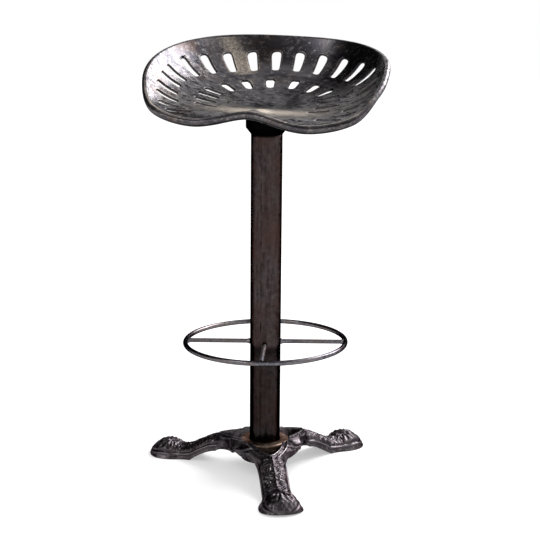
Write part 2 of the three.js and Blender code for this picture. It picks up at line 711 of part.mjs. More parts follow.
// The seat, in polar terms: turn is in degrees from the back, share runs from 0 in the middle to 1.
const backHalfStations = [BACK_ANGLE, QUARTER_ANGLE, SIDE_ANGLE];
const rimStations = [...backHalfStations, HAUNCH_ANGLE, FORE_ANGLE, LOBE_ANGLE, NOTCH_ANGLE];
const backHalfReaches = [BACK_REACH, QUARTER_REACH, SIDE_REACH];
const rimReaches = [...backHalfReaches, HAUNCH_REACH, FORE_REACH, LOBE_REACH, NOTCH_REACH];
const rimRises = [BACK_RISE, QUARTER_RISE, SIDE_RISE, HAUNCH_RISE, FORE_RISE, LOBE_RISE, NOTCH_RISE];
const slopeStations = [BACK_ANGLE, SIDE_ANGLE, LOBE_ANGLE, NOTCH_ANGLE];
const slopeShares = [BACK_SLOPE_SHARE, SIDE_SLOPE_SHARE, LOBE_SLOPE_SHARE, NOTCH_SLOPE_SHARE];
const rimPowers = [BACK_RIM_POWER, SIDE_RIM_POWER, LOBE_RIM_POWER, LOBE_RIM_POWER];

// Both halves are alike, so a turn past the notch is folded back.
function folded(turn) {
  const whole = ((turn % 360) + 360) % 360;
  return whole > 180 ? 360 - whole : whole;
}

// A place given by turn, reach and height above the dish bottom, with the seat's lean.
function seatPoint(turn, reach, rise) {
  const x = reach * Math.sin(radians(turn));
  const y = reach * Math.cos(radians(turn));
  return new THREE.Vector3(x + SEAT_SHIFT, y, dishBottom + rise - x * Math.tan(radians(SEAT_LEAN_ANGLE)));
}

// The bead's outline round its own middle, out and up.
function beadOffset(degrees) {
  return [(BEAD_WIDTH / 2) * Math.cos(radians(degrees)), (BEAD_HEIGHT / 2) * Math.sin(radians(degrees))];
}

// The dish's upper surface.
function dishPoint(turn, share) {
  const at = folded(turn);
  const [beadIn, beadUp] = beadOffset(BEAD_START_ANGLE);
  const slopeShare = through(slopeStations, slopeShares, at);
  const power = through(slopeStations, rimPowers, at);
  const soft = Math.hypot(share, DISH_SOFTNESS_SHARE) - DISH_SOFTNESS_SHARE;
  const even = soft / (Math.hypot(1, DISH_SOFTNESS_SHARE) - DISH_SOFTNESS_SHARE);
  const climb = slopeShare * even + (1 - slopeShare) * share ** power;
  const reach = share * (through(rimStations, rimReaches, at) + beadIn);
  return seatPoint(turn, reach, climb * (through(rimStations, rimRises, at) + beadUp));
}

// The dish's upward normal, from two small steps.
function dishNormal(turn, share) {
  const here = dishPoint(turn, share);
  const out = dishPoint(turn, share + 0.005).sub(here);
  const along = dishPoint(turn + 0.5, share).sub(here);
  return out.cross(along).normalize().negate();
}

// The seat's whole skin: out over the dish, round the bead, back along the underside.
function seatSkin(turn, step) {
  if (step <= DISH_STEPS) return dishPoint(turn, step / DISH_STEPS);
  const bead = step - DISH_STEPS;
  if (bead <= BEAD_STEPS) {
    const sweep = BEAD_END_ANGLE - BEAD_START_ANGLE;
    const [out, up] = beadOffset(BEAD_START_ANGLE + (sweep * bead) / BEAD_STEPS);
    const at = folded(turn);
    const reach = through(rimStations, rimReaches, at) + out;
    return seatPoint(turn, reach, through(rimStations, rimRises, at) + up);
  }
  const share = UNDERSIDE_SHARE * (1 - (bead - BEAD_STEPS - 1) / UNDERSIDE_STEPS);
  if (share < 1e-6) return seatPoint(turn, 0, -SEAT_WALL);
  return dishPoint(turn, share).addScaledVector(dishNormal(turn, share), -SEAT_WALL);
}

// The closed shell of the seat, before its slots are cut.
function seatShell() {
  const steps = DISH_STEPS + BEAD_STEPS + UNDERSIDE_STEPS + 1;
  const place = (u, v, target) => target.copy(seatSkin(360 * (u % 1), Math.round(v * steps)));
  return new ParametricGeometry(place, SEAT_STEPS, steps);
}

// Turns of one row's slots on the seat's right half: wide pitch first, then narrow.
function slotTurns(backCount, backPitch, sideCount, sidePitch) {
  const back = Array.from({ length: backCount }, (_, i) => (i + 0.5) * backPitch);
  const lastBack = (backCount - 0.5) * backPitch;
  const side = Array.from({ length: sideCount }, (_, i) => lastBack + (i + 1) * sidePitch);
  return [...back, ...side];
}

// A tapered slot with full, squarish round ends, lying along +X from 0 to its length.
function slotShape(length, innerWidth, outerWidth) {
  const shape = new THREE.Shape();
  const roundEnd = (middle, half, way) => {
    for (let i = -SLOT_END_STEPS; i <= SLOT_END_STEPS; i += 1) {
      const turn = ((Math.PI / 2) * i) / SLOT_END_STEPS;
      const out = Math.abs(Math.cos(turn)) ** (2 / SLOT_SQUARENESS);
      const aside = Math.sign(i) * Math.abs(Math.sin(turn)) ** (2 / SLOT_SQUARENESS);
      const corner = [middle + way * half * out, way * half * aside];
      if (shape.curves.length === 0 && shape.currentPoint.length() === 0) shape.moveTo(...corner);
      else shape.lineTo(...corner);
    }
  };
  roundEnd(length - outerWidth / 2, outerWidth / 2, 1);
  roundEnd(innerWidth / 2, innerWidth / 2, -1);
  return shape;
}

// One slot's cutting solid, square to the dish at the slot's middle; side is 1 or -1.
function slotCutter(turn, side, row) {
  const sideways = THREE.MathUtils.smoothstep(turn, SLOT_START_ANGLE, SLOT_END_ANGLE);
  const mix = (back, atSide) => back + (atSide - back) * sideways;
  const length = mix(row.backLength, row.sideLength);
  const width = mix(row.backWidth, row.sideWidth);
  const wider = width + mix(row.taper, 0);
  const heading = mix(turn, SIDE_SLOT_ANGLE);
  const rowStations = [BACK_ANGLE, SIDE_ANGLE, LOBE_ANGLE];
  const innerReach = through(rowStations, [row.back, row.side, row.front], turn);
  const start = new THREE.Vector2(innerReach * Math.sin(radians(turn)), innerReach * Math.cos(radians(turn)));
  const ahead = new THREE.Vector2(Math.sin(radians(heading)), Math.cos(radians(heading)));
  const onDish = (along) => {
    const spot = start.clone().addScaledVector(ahead, along);
    const spotTurn = THREE.MathUtils.radToDeg(Math.atan2(spot.x, spot.y)) * side;
    const reach = through(rimStations, rimReaches, folded(spotTurn)) + beadOffset(BEAD_START_ANGLE)[0];
    return [spotTurn, spot.length() / reach];
  };
  const near = dishPoint(...onDish(0));
  const flatRun = length * 0.8;
  const slantDirection = dishPoint(...onDish(flatRun)).sub(near).normalize();
  const middle = near.clone().addScaledVector(slantDirection, length / 2);
  const upward = dishNormal(...onDish(flatRun / 2));
  const across = new THREE.Vector3().crossVectors(upward, slantDirection).normalize();
  const normal = new THREE.Vector3().crossVectors(slantDirection, across);
  const depth = 2 * CUT_PAST;
  const cutter = new THREE.ExtrudeGeometry(slotShape(length, width, wider), { depth, bevelEnabled: false });
  cutter.translate(-length / 2, 0, -depth / 2);
  cutter.applyMatrix4(new THREE.Matrix4().makeBasis(slantDirection, across, normal).setPosition(middle));
  return solidOf(cutter);
}

const outerRow = {
  turns: slotTurns(OUTER_BACK_COUNT, OUTER_BACK_PITCH_ANGLE, OUTER_SIDE_COUNT, OUTER_SIDE_PITCH_ANGLE),
  back: BACK_REACH * OUTER_ROW_BACK_SHARE,
  side: SIDE_REACH * OUTER_ROW_SIDE_SHARE,
  front: LOBE_REACH * OUTER_ROW_FRONT_SHARE,
  backLength: BACK_REACH * OUTER_SLOT_BACK_SHARE,
  sideLength: SIDE_REACH * OUTER_SLOT_SIDE_SHARE,
  backWidth: OUTER_SLOT_BACK_WIDTH,
  sideWidth: OUTER_SLOT_SIDE_WIDTH,
  taper: OUTER_SLOT_TAPER,
};
const innerRow = {
  turns: slotTurns(INNER_BACK_COUNT, INNER_BACK_PITCH_ANGLE, INNER_SIDE_COUNT, INNER_SIDE_PITCH_ANGLE),
  back: BACK_REACH * INNER_ROW_BACK_SHARE,
  side: SIDE_REACH * INNER_ROW_SIDE_SHARE,
  front: LOBE_REACH * INNER_ROW_FRONT_SHARE,
  backLength: BACK_REACH * INNER_SLOT_BACK_SHARE,
  sideLength: SIDE_REACH * INNER_SLOT_SIDE_SHARE,
  backWidth: INNER_SLOT_BACK_WIDTH,
  sideWidth: INNER_SLOT_SIDE_WIDTH,
  taper: INNER_SLOT_TAPER,
};

// The seat casting: slotted shell, boss under the middle, blind holes for the screws.
function seatGeometry() {
  let seat = solidOf(seatShell());
  for (const row of [outerRow, innerRow]) {
    for (const turn of row.turns) {
      for (const side of [1, -1]) seat = seat.subtract(slotCutter(turn, side, row));
    }
  }
  const bossTop = dishBottom - SEAT_WALL / 2;
  const boss = solidOf(roundBar(SEAT_BOSS_DIAMETER / 2, bossBottom, bossTop, ROUND_STEPS));
  return geometryOf(seat.add(boss).subtract(seatScrewHoles()));
}
addPiece('seat_pan', seatGeometry(), 'seatIron');

// The origin is on the floor, under the middle of the whole outline.
stool.updateMatrixWorld(true);
const outline = new THREE.Box3().setFromObject(stool, true);
const middle = outline.getCenter(new THREE.Vector3());
stool.position.set(-middle.x, -middle.y, -outline.min.z);
stool.updateMatrixWorld(true);

export default stool;
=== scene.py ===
"""Tractor seat stool: slotted cast seat, browned steel column, round foot rest, three cast legs.

Sizes are in millimetres and become metres when a mesh is made. Shapes are worked out round the
column axis with numpy and then set down where the frame has the column.
"""

import bpy
import numpy as np
from mathutils import Matrix, Vector


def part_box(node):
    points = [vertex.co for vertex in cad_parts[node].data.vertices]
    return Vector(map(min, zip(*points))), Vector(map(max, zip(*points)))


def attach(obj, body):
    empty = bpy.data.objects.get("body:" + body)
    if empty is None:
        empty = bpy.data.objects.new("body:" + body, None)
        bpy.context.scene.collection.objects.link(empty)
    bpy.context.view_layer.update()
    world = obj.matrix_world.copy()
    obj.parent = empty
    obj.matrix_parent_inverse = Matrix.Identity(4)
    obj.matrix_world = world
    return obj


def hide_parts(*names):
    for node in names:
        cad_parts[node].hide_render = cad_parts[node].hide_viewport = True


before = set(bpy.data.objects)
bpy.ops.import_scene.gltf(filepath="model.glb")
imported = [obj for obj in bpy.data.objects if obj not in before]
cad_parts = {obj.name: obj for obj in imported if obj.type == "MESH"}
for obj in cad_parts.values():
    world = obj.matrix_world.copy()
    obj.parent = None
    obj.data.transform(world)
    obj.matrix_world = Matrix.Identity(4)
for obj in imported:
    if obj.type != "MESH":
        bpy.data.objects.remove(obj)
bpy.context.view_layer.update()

MM = 0.001
MERGE_DISTANCE = 0.002  # mm: points closer than this are one
TURNED_STEPS = 128


def middle_of(node):
    """Middle of a node's box, in millimetres."""
    low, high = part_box(node)
    return (np.array(low) + np.array(high)) / 2 / MM


def span_of(node, axis):
    """Lowest and highest millimetre of a node along an axis."""
    low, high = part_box(node)
    return low[axis] / MM, high[axis] / MM


def radius_of(node):
    """Half of a round node's width along X, in millimetres."""
    low, high = span_of(node, 0)
    return (high - low) / 2


# Places and sizes that the frame gives
AXIS = middle_of("column_tube") * [1, 1, 0]
COLUMN_BOTTOM, COLUMN_TOP = span_of("column_tube", 2)
COLUMN_RADIUS = radius_of("column_tube")
COLLAR_BOTTOM, COLLAR_TOP = span_of("hub_collar", 2)
COLLAR_RADIUS = radius_of("hub_collar")
PLATE_TOP = span_of("swivel_plate", 2)[1]
RING_MIDDLE = middle_of("foot_ring")[2]

# The photograph's camera, in metres and degrees, round the column from straight in front towards +X
VIEW_TURN = 12.5
CAMERA_DISTANCE = 2.3
CAMERA_HEIGHT = 0.9033
CAMERA_ASIDE = 0.20
CAMERA_TILT = 12.26
CAMERA_ROLL = 0.44
CAMERA_LENS = 81.07  # millimetres, for a sensor 36 mm wide

# Seat: reach is from the seat's middle to the middle of the rim bead, rise is from the dish bottom.
# Turns are in degrees from the back of the seat, the same on both sides.
RIM_TURNS = [0, 45, 90, 112, 130, 150, 180]
RIM_REACHES = [196.7, 213.2, 220.3, 231.8, 235.3, 201.9, 166.7]
RIM_RISES = [120.6, 112.9, 77.9, 42.4, -2.1, -19.4, -1.6]
SLOPE_TURNS = [0, 90, 150, 180]
SLOPE_SHARES = [0.57, 0.55, 0.09, 0.8]
RIM_POWERS = [7.4, 7.5, 7.5, 7.5]
DISH_SOFTNESS = 0.25
SEAT_SHIFT = 4.3
SEAT_LEAN = np.radians(2.1)
SEAT_WALL = 4.5
PLATE_GAP = 0.3  # room between the swivel plate and the boss
BOSS_HEIGHT = 14.8
DISH_BOTTOM = PLATE_TOP + PLATE_GAP + BOSS_HEIGHT
BEAD_WIDTH = 12
BEAD_HEIGHT = 15.2
BEAD_START = 150
BEAD_END = -112
BEAD_SQUARENESS = 2.3
BEAD_GROOVE = 1.1
GROOVE_AT = 38
# Over these turns the bead's marks set in: its rubbed lines also painted highlight, its dark groove lines
# painted shade
FRONT_TURNS = (100, 132)  # over these turns the bead's groove and rubbed lines set in
POMMEL_RISE = 3.5
POMMEL_WIDTH = 13
POMMEL_SPAN = (40, 120)  # forward of the seat's middle
POMMEL_FADE = (0.86, 1)  # shares of the reach
BOSS_RADIUS = 45
BOSS_EDGE = 1.5
BOSS_FILLET = [(0.0, 0.0), (0.35, 0.4), (0.7, 1.6), (0.9, 3.2), (1.0, 5.5), (1.06, 6.0)]  # rise share, spread
BOSS_TOP_RADII = (40, 30, 20, 10, 0)
BOSS_SINK = 0.6  # how far the boss's top reaches into the dish's wall

# Wear of the seat: the scuffed patch on the back wall slants with height, the saddle lies in front,
# rubbed pale also as a painted highlight. Rows of bells are (strength, middle, width): above 0 is
# rubbed, below 0 is darker.
SCUFF_MIDDLE = (-98, 148, 805)
SCUFF_SIZE = (28, 56)
SCUFF_SLANT = 0.6
SCUFF_STRENGTH = 0.75
SADDLE_MIDDLE = (5, -84)
SADDLE_SIZE = (135, 56)
# Strong enough that the saddle's rubbed pale colour also serves as a painted highlight
SADDLE_WEAR_AND_HIGHLIGHT = 1.05
# A darker stripe along the middle of the band between the slot rows, growing towards the back
BAND_DARKENING = 0.5
BAND_DARKENING_REACH = 60
# On the bead: rubbed top and outside lines, also painted highlight, then dark lines in the two grooves and a
# dark underside as painted shade
BEAD_WEAR_AND_PAINTED_LIGHT = [(0.8, 84, 24), (0.4, 2, 16), (-0.9, BEAD_START - 4, 10), (-1, GROOVE_AT, 12), (-1.1, -52, 30)]

# Slots: back and side are (count on each half, pitch in degrees), length and width are (at the back,
# at the sides), reach is to the inner end at ROW_TURNS, and arc and edge count the points of a round
# end and of a straight side
OUTER_SLOTS = dict(back=(6, 15.7), side=(5, 10.9), reach=[151, 166.5, 182.5], length=(50.5, 43),
                   width=(14, 9.5), taper=4.5, squareness=2.8, arc=8, edge=12)
INNER_SLOTS = dict(back=(4, 23.2), side=(3, 15.1), reach=[100.8, 95.8, 111.3], length=(31.9, 40.1),
                   width=(13.5, 8.5), taper=3, squareness=2.2, arc=12, edge=9)
ROW_TURNS = [0, 90, 150]
SLOT_TURN_SPAN = (62, 100)
SIDE_SLOT_HEADING = 94.4
SLOT_LIP_WIDTH = 2.7
SLOT_LIP_DEPTH = 2.6
SLOT_LOW_ROUND = 1.3
SLOT_MARGIN = 5.5
CELL_ROWS = 6  # from the cell's edge to the slot's lip
LAST_WORN_ROW = 7
# Down the slot: a rubbed edge, then a dark line round the lip's rounding as painted shade, then a rubbed line
# lower down
SLOT_WEAR_AND_SHADE = [(0.5, CELL_ROWS - 1, 0.7), (-0.95, 7.3, 1.3), (0.4, 10.5, 1.2)]  # by row, down the slot
LIP_TURNS = (70, 52, 34, 17, 0)  # degrees round the lip
LOW_TURNS = (0, 45, 90)  # and round the slot's lower edge
SEAT_COLUMNS = 480
MIDDLE_ROWS, BAND_ROWS, RIM_ROWS, BEAD_ROWS, UNDER_ROWS = 24, 8, 6, 28, 5  # steps from line to line

# Legs
LEG_ANGLES = {"front": 290.7, "left": 170.7, "right": 50.7}
LEG_REACH = 249.4
LEG_HALF = 27
KNOB_HALF = 33
SOLE_HALF = 41.5
HEEL_REACH = 154
HEEL_LENGTH = 60
TOE_LENGTH = 32
TOE_SQUARENESS = 2.1
TOE_LIFT = 3.5
TOE_LIFT_LENGTH = 50
NECK_REACH = LEG_REACH - 75  # from here the leg widens
KNOB_REACH = LEG_REACH - 39  # to here
BRANCH_SPREAD = 30  # half width that the branches add at the collar
CROWN_RISE = 1.8
FLANK_DROP = 6
CREST_REACHES = [48.5, 100, 175, 211, 250]
CREST_HEIGHTS = [63.5, 57, 23.3, 30.3, 22]
ARCH_HEIGHT = 28.3
ARCH_REACH = 95
BRANCH_START = 96
BRANCH_RISE = 24
POCKET_ROOT = 37
POCKET_REACH = 94
POCKET_HALF = 28
POCKET_SQUARENESS = 1.4
POCKET_FLOOR = 42
SEAM_GAP = 0.25
SEAM_ANGLE = 60  # degrees from a leg's middle to its seam with the next leg
BRANCHES_END = 110
LEG_STEPS = 96
HUB_ROWS, SHANK_ROWS, TOE_ROWS = 70, 112, 30
SECTION_SQUARENESS = 2.6
HUB_SQUARENESS = 7  # added at the collar, fading out over HUB_SQUARED
HUB_SQUARED = (34, 52)
TONGUE_THICKNESS = 9

# Leg carving: reaches and widths in mm, lifts in degrees from the sole's edge up to 90 on top
SHANK_START = (84, 98)
SHANK_END = (184, 200)
FOOT_START = (186, 198)
BAND_EDGE = (31, 38)
LEAF_PITCH = 10.5
LEAF_SLANT = 0.45
RIB_PITCH = 4.6
RIB_SLANT = 0.8
LEAF_DEPTH = 1.3
LEAF_ASIDE = 11  # leaves, ribs and vein are bells across the leg, from its middle line
LEAF_WIDTH = 5.2
RIB_DEPTH = 0.45
RIB_ASIDE = 13
RIB_WIDTH = 7
VEIN_DEPTH = 0.2
VEIN_WIDTH = 3
CARVING_DRIFT = 2.5  # how far the uneven casting shifts leaves and vein
CAST_DEPTH = 0.8
PETAL_DEPTH = 0.85
PETAL_COUNT = 14  # in two pi round the knob
PETAL_TURN = 0.6
PETAL_START = (4, 12)
PETAL_END = (27, 36)
PETAL_EDGE = (33, 42)
FAN_REACH = 203
BROW_REACH = 190  # a raised line between the band and the foot
SIDE_RIDGE = [(1.6, 24, 3.2), (-0.9, 16, 4), (-0.7, 31, 3.5)]  # bells over the lift
TOE_GROOVE = [(-1.5, 27, 4), (1.0, 19, 4)]
POCKET_RIDGE = 2.2
NEAR_RIDGE = (2.8, 1.7)  # room outside the pocket at the middle of a bell, and the bell's width
FAR_RIDGE = (12.5, 1.9)
RIDGE_HOLLOW = (7.5, 3.0)

# Uneven fields as (size in mm, seed)
WANDER_FIELD = (24, 8)
STRENGTH_FIELD = (15, 9)
FINE_CAST_FIELD = (6.5, 3)
COARSE_CAST_FIELD = (11, 4)
PETAL_FIELD = (9, 11)
HOLLOW_FIELD = (7, 21)
TUBE_FIELD = (45, 5)
SCORCH_FIELD = (30, 6)
# The next field varies the painted shade down the column's two sides
SIDE_SHADE_FIELD = (18, 12)

# Column
COLUMN_ROWS = 130
COLUMN_WALL = 3
COLLAR_CLEARANCE = 0.3
COLLAR_ROUNDING = 2.5
WELD_SEAM_AT = 266.5
# Painted shade down the tube's two sides as the camera sees them, where the tube turns away
PAINTED_SIDE_SHADE = [(0.7, 208, 26), (0.6, 366, 22), (0.6, 6, 22)]  # bells over the degrees round the tube

# Foot rest
RING_RADIUS = 156.5
RING_BAR = 9.6
SPOKE_BAR = 8.4
SPOKE_SINK = 1.2  # into the ring, and half of it into the column
WELD_RISES = (1.3, 1.2)  # at the column and at the ring
SPOKE_ANGLES = {"front": 279.5, "right": 9.5, "back": 99.5, "left": 189.5}
RING_LEAN = np.radians(0.6)


# Mesh helpers


def through(stations, values, at):
    """Smooth curve through stations: cubic pieces with slopes from the neighbours, level at both ends."""
    stations, values = np.asarray(stations, float), np.asarray(values, float)
    slopes = np.zeros(len(values))
    slopes[1:-1] = (values[2:] - values[:-2]) / (stations[2:] - stations[:-2])
    at = np.clip(at, stations[0], stations[-1])
    i = np.clip(np.searchsorted(stations, at) - 1, 0, len(stations) - 2)
    span = stations[i + 1] - stations[i]
    t = (at - stations[i]) / span
    rise = t * t * (3 - 2 * t)
    bend = slopes[i] * t * (1 - t) ** 2 + slopes[i + 1] * t * t * (t - 1)
    return values[i] * (1 - rise) + values[i + 1] * rise + bend * span


def smoothstep(low, high, at):
    """0 below low, 1 above high, an even S between them."""
    t = np.clip((np.asarray(at, float) - low) / (high - low), 0, 1)
    return t * t * (3 - 2 * t)


def bump(at, middle, width):
    """A bell of height 1: exp of minus the squared distance from the middle over the width."""
    return np.exp(-(((at - middle) / width) ** 2))


def bells(at, rows):
    """A sum of bells from (strength, middle, width) rows."""
    return sum(strength * bump(at, middle, width) for strength, middle, width in rows)


def stacked(*parts):
    """Points from their coordinates, each a number or an array that spreads over the others."""
    return np.stack(np.broadcast_arrays(*parts), -1)


def unit(vectors):
    """Vectors at length 1."""
    return vectors / np.maximum(np.linalg.norm(vectors, axis=-1, keepdims=True), 1e-9)


def in_scene(name, data):
    """A new object with that data, linked into the scene."""
    thing = bpy.data.objects.new(name, data)
    bpy.context.scene.collection.objects.link(thing)
    return thing


def grid_faces(rows, columns, start, wrap_columns, wrap_rows):
    """Corner numbers of a grid's quads: each point with its right, lower right and lower neighbour."""
    r = np.arange(rows if wrap_rows else rows - 1)[:, None]
    c = np.arange(columns if wrap_columns else columns - 1)[None, :]
    r2, c2 = (r + 1) % rows, (c + 1) % columns
    corners = stacked(r * columns + c, r * columns + c2, r2 * columns + c2, r2 * columns + c)
    return corners.reshape(-1, 4) + start


def mesh_piece(name, grids, material, body, replaces=()):
    """One object from grids of points (rows, columns, 3) in mm round the column axis.

    Each grid comes with a note, "" open, "c" closed across its columns, "cr" closed both ways, and
    with its wear and painted light: above 0 where the finish is rubbed, on the seat's saddle and bead
    also as painted highlight; below 0 where it is darker, from dirt and heat, and from painted shade
    on the seat's slots, grooves and bead, in the legs' pockets and down the column. Points that fall
    together are made one, and faces that collapse lose their double corner.
    """
    points, faces, wears, start = [], [], [], 0
    for grid, closing, wear_and_light in grids:
        rows, columns = grid.shape[:2]
        points.append(grid.reshape(-1, 3))
        wears.append(np.broadcast_to(wear_and_light, (rows, columns)).reshape(-1))
        faces.append(grid_faces(rows, columns, start, "c" in closing, "r" in closing))
        start += rows * columns
    points, faces, wears = np.concatenate(points), np.concatenate(faces), np.concatenate(wears)
    keys = np.round(points / MERGE_DISTANCE).astype(np.int64)
    _, first, same = np.unique(keys, axis=0, return_index=True, return_inverse=True)
    points, wears, faces = points[first], wears[first], same.reshape(-1)[faces]
    doubled = faces == np.roll(faces, -1, axis=1)
    corners = [faces[~doubled.any(axis=1)].tolist()]
    for k in range(4):
        narrow = faces[doubled[:, k] & (doubled.sum(axis=1) == 1)]
        corners.append(np.delete(narrow, k, axis=1).tolist())
    mesh = bpy.data.meshes.new(name)
    mesh.from_pydata(((points + AXIS) * MM).tolist(), [], sum(corners, []))
    mesh.update()
    mesh.shade_smooth()
    mesh.attributes.new("wear_and_light", "FLOAT", "POINT").data.foreach_set("value", wears.astype(np.float32))
    mesh.materials.append(material)
    piece = in_scene(name, mesh)
    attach(piece, body)
    if replaces:
        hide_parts(*replaces)


def ripple(place, size, seed):
    """A soft uneven field between about -1 and 1: a sum of seven sines of one size, in seeded directions."""
    dice = np.random.default_rng(seed)
    ways = dice.normal(size=(7, 3))
    ways *= 2 * np.pi / size / np.linalg.norm(ways, axis=1, keepdims=True)
    return np.sin(place @ ways.T + dice.uniform(0, 2 * np.pi, 7)).sum(axis=-1) / 2.6


def turned(outline, round_off=0.8):
    """A turned surface: an outline of (radius, height) corners, each rounded, swept round the axis.

    A corner becomes a quadratic curve between points round_off away from it on both sides, or 0.45
    of a short side.
    """
    corners = np.asarray(outline, float)
    path = [corners[:1]]
    t = np.linspace(0, 1, 6)[:, None]
    for before, at, after in zip(corners[:-2], corners[1:-1], corners[2:]):
        reach_in = min(round_off, np.linalg.norm(before - at) * 0.45)
        reach_out = min(round_off, np.linalg.norm(after - at) * 0.45)
        enter, leave = at + unit(before - at) * reach_in, at + unit(after - at) * reach_out
        path.append((1 - t) ** 2 * enter + 2 * t * (1 - t) * at + t * t * leave)
    path.append(corners[-1:])
    path = np.concatenate(path)
    turn = np.linspace(0, 2 * np.pi, TURNED_STEPS, endpoint=False)
    radius, height = path[:, :1], path[:, 1:]
    return stacked(radius * np.cos(turn), radius * np.sin(turn), height)


# Materials


def linear(code):
    """Linear colour from an sRGB hex code."""
    parts = np.array([int(code[i:i + 2], 16) for i in (1, 3, 5)]) / 255
    return (*np.where(parts <= 0.04045, parts / 12.92, ((parts + 0.055) / 1.055) ** 2.4), 1.0)


def add(tree, kind, inputs=None, **settings):
    """Adds a node: settings are its properties, inputs are values or sockets by name or number."""
    node = tree.nodes.new(kind)
    for key, value in settings.items():
        setattr(node, key, value)
    for key, value in (inputs or {}).items():
        if isinstance(value, bpy.types.NodeSocket):
            tree.links.new(value, node.inputs[key])
        else:
            node.inputs[key].default_value = value
    return node


def new_material(name):
    """An empty node material with its tree, its shader and Object coordinates."""
    material = bpy.data.materials.new(name)
    material.use_nodes = True
    tree = material.node_tree
    tree.nodes.clear()
    shader = add(tree, "ShaderNodeBsdfPrincipled")
    add(tree, "ShaderNodeOutputMaterial", {"Surface": shader.outputs[0]})
    place = add(tree, "ShaderNodeTexCoord").outputs["Object"]
    return material, tree, shader, place


def per_metre(size_mm):
    """Pattern scale for a feature of a real size."""
    return 1 / (size_mm * MM)


def layered(tree, ground, layers, curve="LINEAR"):
    """Colours laid one over the other on a ground colour.

    A layer is (pattern, low, high, most, colour). Its share is 0 where the pattern is at low, most
    where it is at high, and on the given curve between.
    """
    colour = linear(ground)
    for pattern, low, high, most, over in layers:
        share = add(tree, "ShaderNodeMapRange", {"Value": pattern, "From Min": low, "From Max": high,
                                                 "To Max": most}, interpolation_type=curve).outputs[0]
        colour = add(tree, "ShaderNodeMix", {"Factor": share, 6: colour, 7: linear(over)},
                     data_type="RGBA").outputs[2]
    return colour


def set_metal(tree, shader, colour, relief, fine, roughness, wear_and_light, dulling):
    """Makes the shader a bare metal: it gets its colour, its relief and how rough it is.

    Roughness runs from its low to its high value over the fine pattern, plus wear times dulling.
    """
    polish = add(tree, "ShaderNodeMapRange", {"Value": fine, "From Min": 0.3, "From Max": 0.7,
                                              "To Min": roughness[0], "To Max": roughness[1]}).outputs[0]
    dull = add(tree, "ShaderNodeMath", {0: wear_and_light, 1: dulling, 2: polish}, operation="MULTIPLY_ADD",
               use_clamp=True).outputs[0]
    shader.inputs["Metallic"].default_value = 1.0
    for socket, value in (("Base Color", colour), ("Roughness", dull), ("Normal", relief)):
        tree.links.new(value, shader.inputs[socket])


def lacquered_cast_iron(name, dark, mid, pale, stain, rubbed_and_highlight, edge, gloss, scuffed=0.0, brushed=(1, 1, 1)):
    """Cast iron, hand finished and lacquered.

    Clouds 45 mm wide and flecks of 9 mm are the hand finish, stains of 70 mm the age. Wear above 0
    bares the rubbed colour in scratches, on the seat's saddle and bead also as painted highlight.
    Wear below 0 leaves dirt, and darkens as painted shade round the slots' lips, in the bead's grooves
    and under it, and in the legs' pockets. The casting grain is about 0.3 mm
    and the brush scratches are finer still, too fine to show, so they are drawn at 1.8 and 4 mm.
    Gloss is the roughness, scuffed the roughness gained where the finish is rubbed, brushed the
    stretch of flecks and scratches, and edge the colour of reflections at a low angle.
    """
    material, tree, shader, place = new_material(name)
    drawn = add(tree, "ShaderNodeMapping", {"Vector": place, "Scale": brushed}).outputs[0]
    clouds, mottle, scratches, stains, grain = [
        add(tree, "ShaderNodeTexNoise", {"Vector": where, "Scale": per_metre(size_mm), "Detail": detail,
                                         "Roughness": fineness, "Distortion": swirl}).outputs[0]
        for where, size_mm, detail, fineness, swirl in (
            (place, 45, 6, 0.6, 0.5), (drawn, 9, 7, 0.72, 0.4), (drawn, 4, 6, 0.8, 0.3),
            (place, 70, 7, 0.66, 0.9), (place, 1.8, 3, 0.6, 0.0))]
    wear_and_light = add(tree, "ShaderNodeAttribute", attribute_name="wear_and_light").outputs["Fac"]
    patchy = add(tree, "ShaderNodeMath", {0: scratches, 1: 0.5}, operation="SUBTRACT").outputs[0]
    bare = add(tree, "ShaderNodeMath", {0: patchy, 1: 2.3, 2: wear_and_light}, operation="MULTIPLY_ADD").outputs[0]
    # Below 0 the iron darkens towards near black: dirt, and painted shade in grooves, pockets, under the bead
    # and round the slots
    dirt_and_shade = add(tree, "ShaderNodeMath", {0: wear_and_light, 1: -1.0}, operation="MULTIPLY").outputs[0]
    colour = layered(tree, dark, [(clouds, 0.38, 0.64, 1.0, mid), (mottle, 0.52, 0.68, 0.8, pale),
                                  (stains, 0.5, 0.66, 0.5, stain), (bare, 0.2, 1.15, 0.8, rubbed_and_highlight),
                                  (dirt_and_shade, 0.1, 1.0, 0.8, "#0d0b0b")], "SMOOTHSTEP")
    tint = layered(tree, mid, [(mottle, 0.32, 0.54, 1.0, edge)], "SMOOTHSTEP")
    tree.links.new(tint, shader.inputs["Specular Tint"])
    marked = add(tree, "ShaderNodeMath", {0: wear_and_light}, operation="ABSOLUTE").outputs[0]
    waves = add(tree, "ShaderNodeBump", {"Height": mottle, "Strength": 0.45, "Distance": 0.5 * MM}).outputs[0]
    relief = add(tree, "ShaderNodeBump", {"Height": grain, "Strength": 0.4, "Distance": 0.14 * MM,
                                          "Normal": waves}).outputs[0]
    set_metal(tree, shader, colour, relief, mottle, (gloss - 0.05, gloss + 0.12), marked, scuffed)
    return material


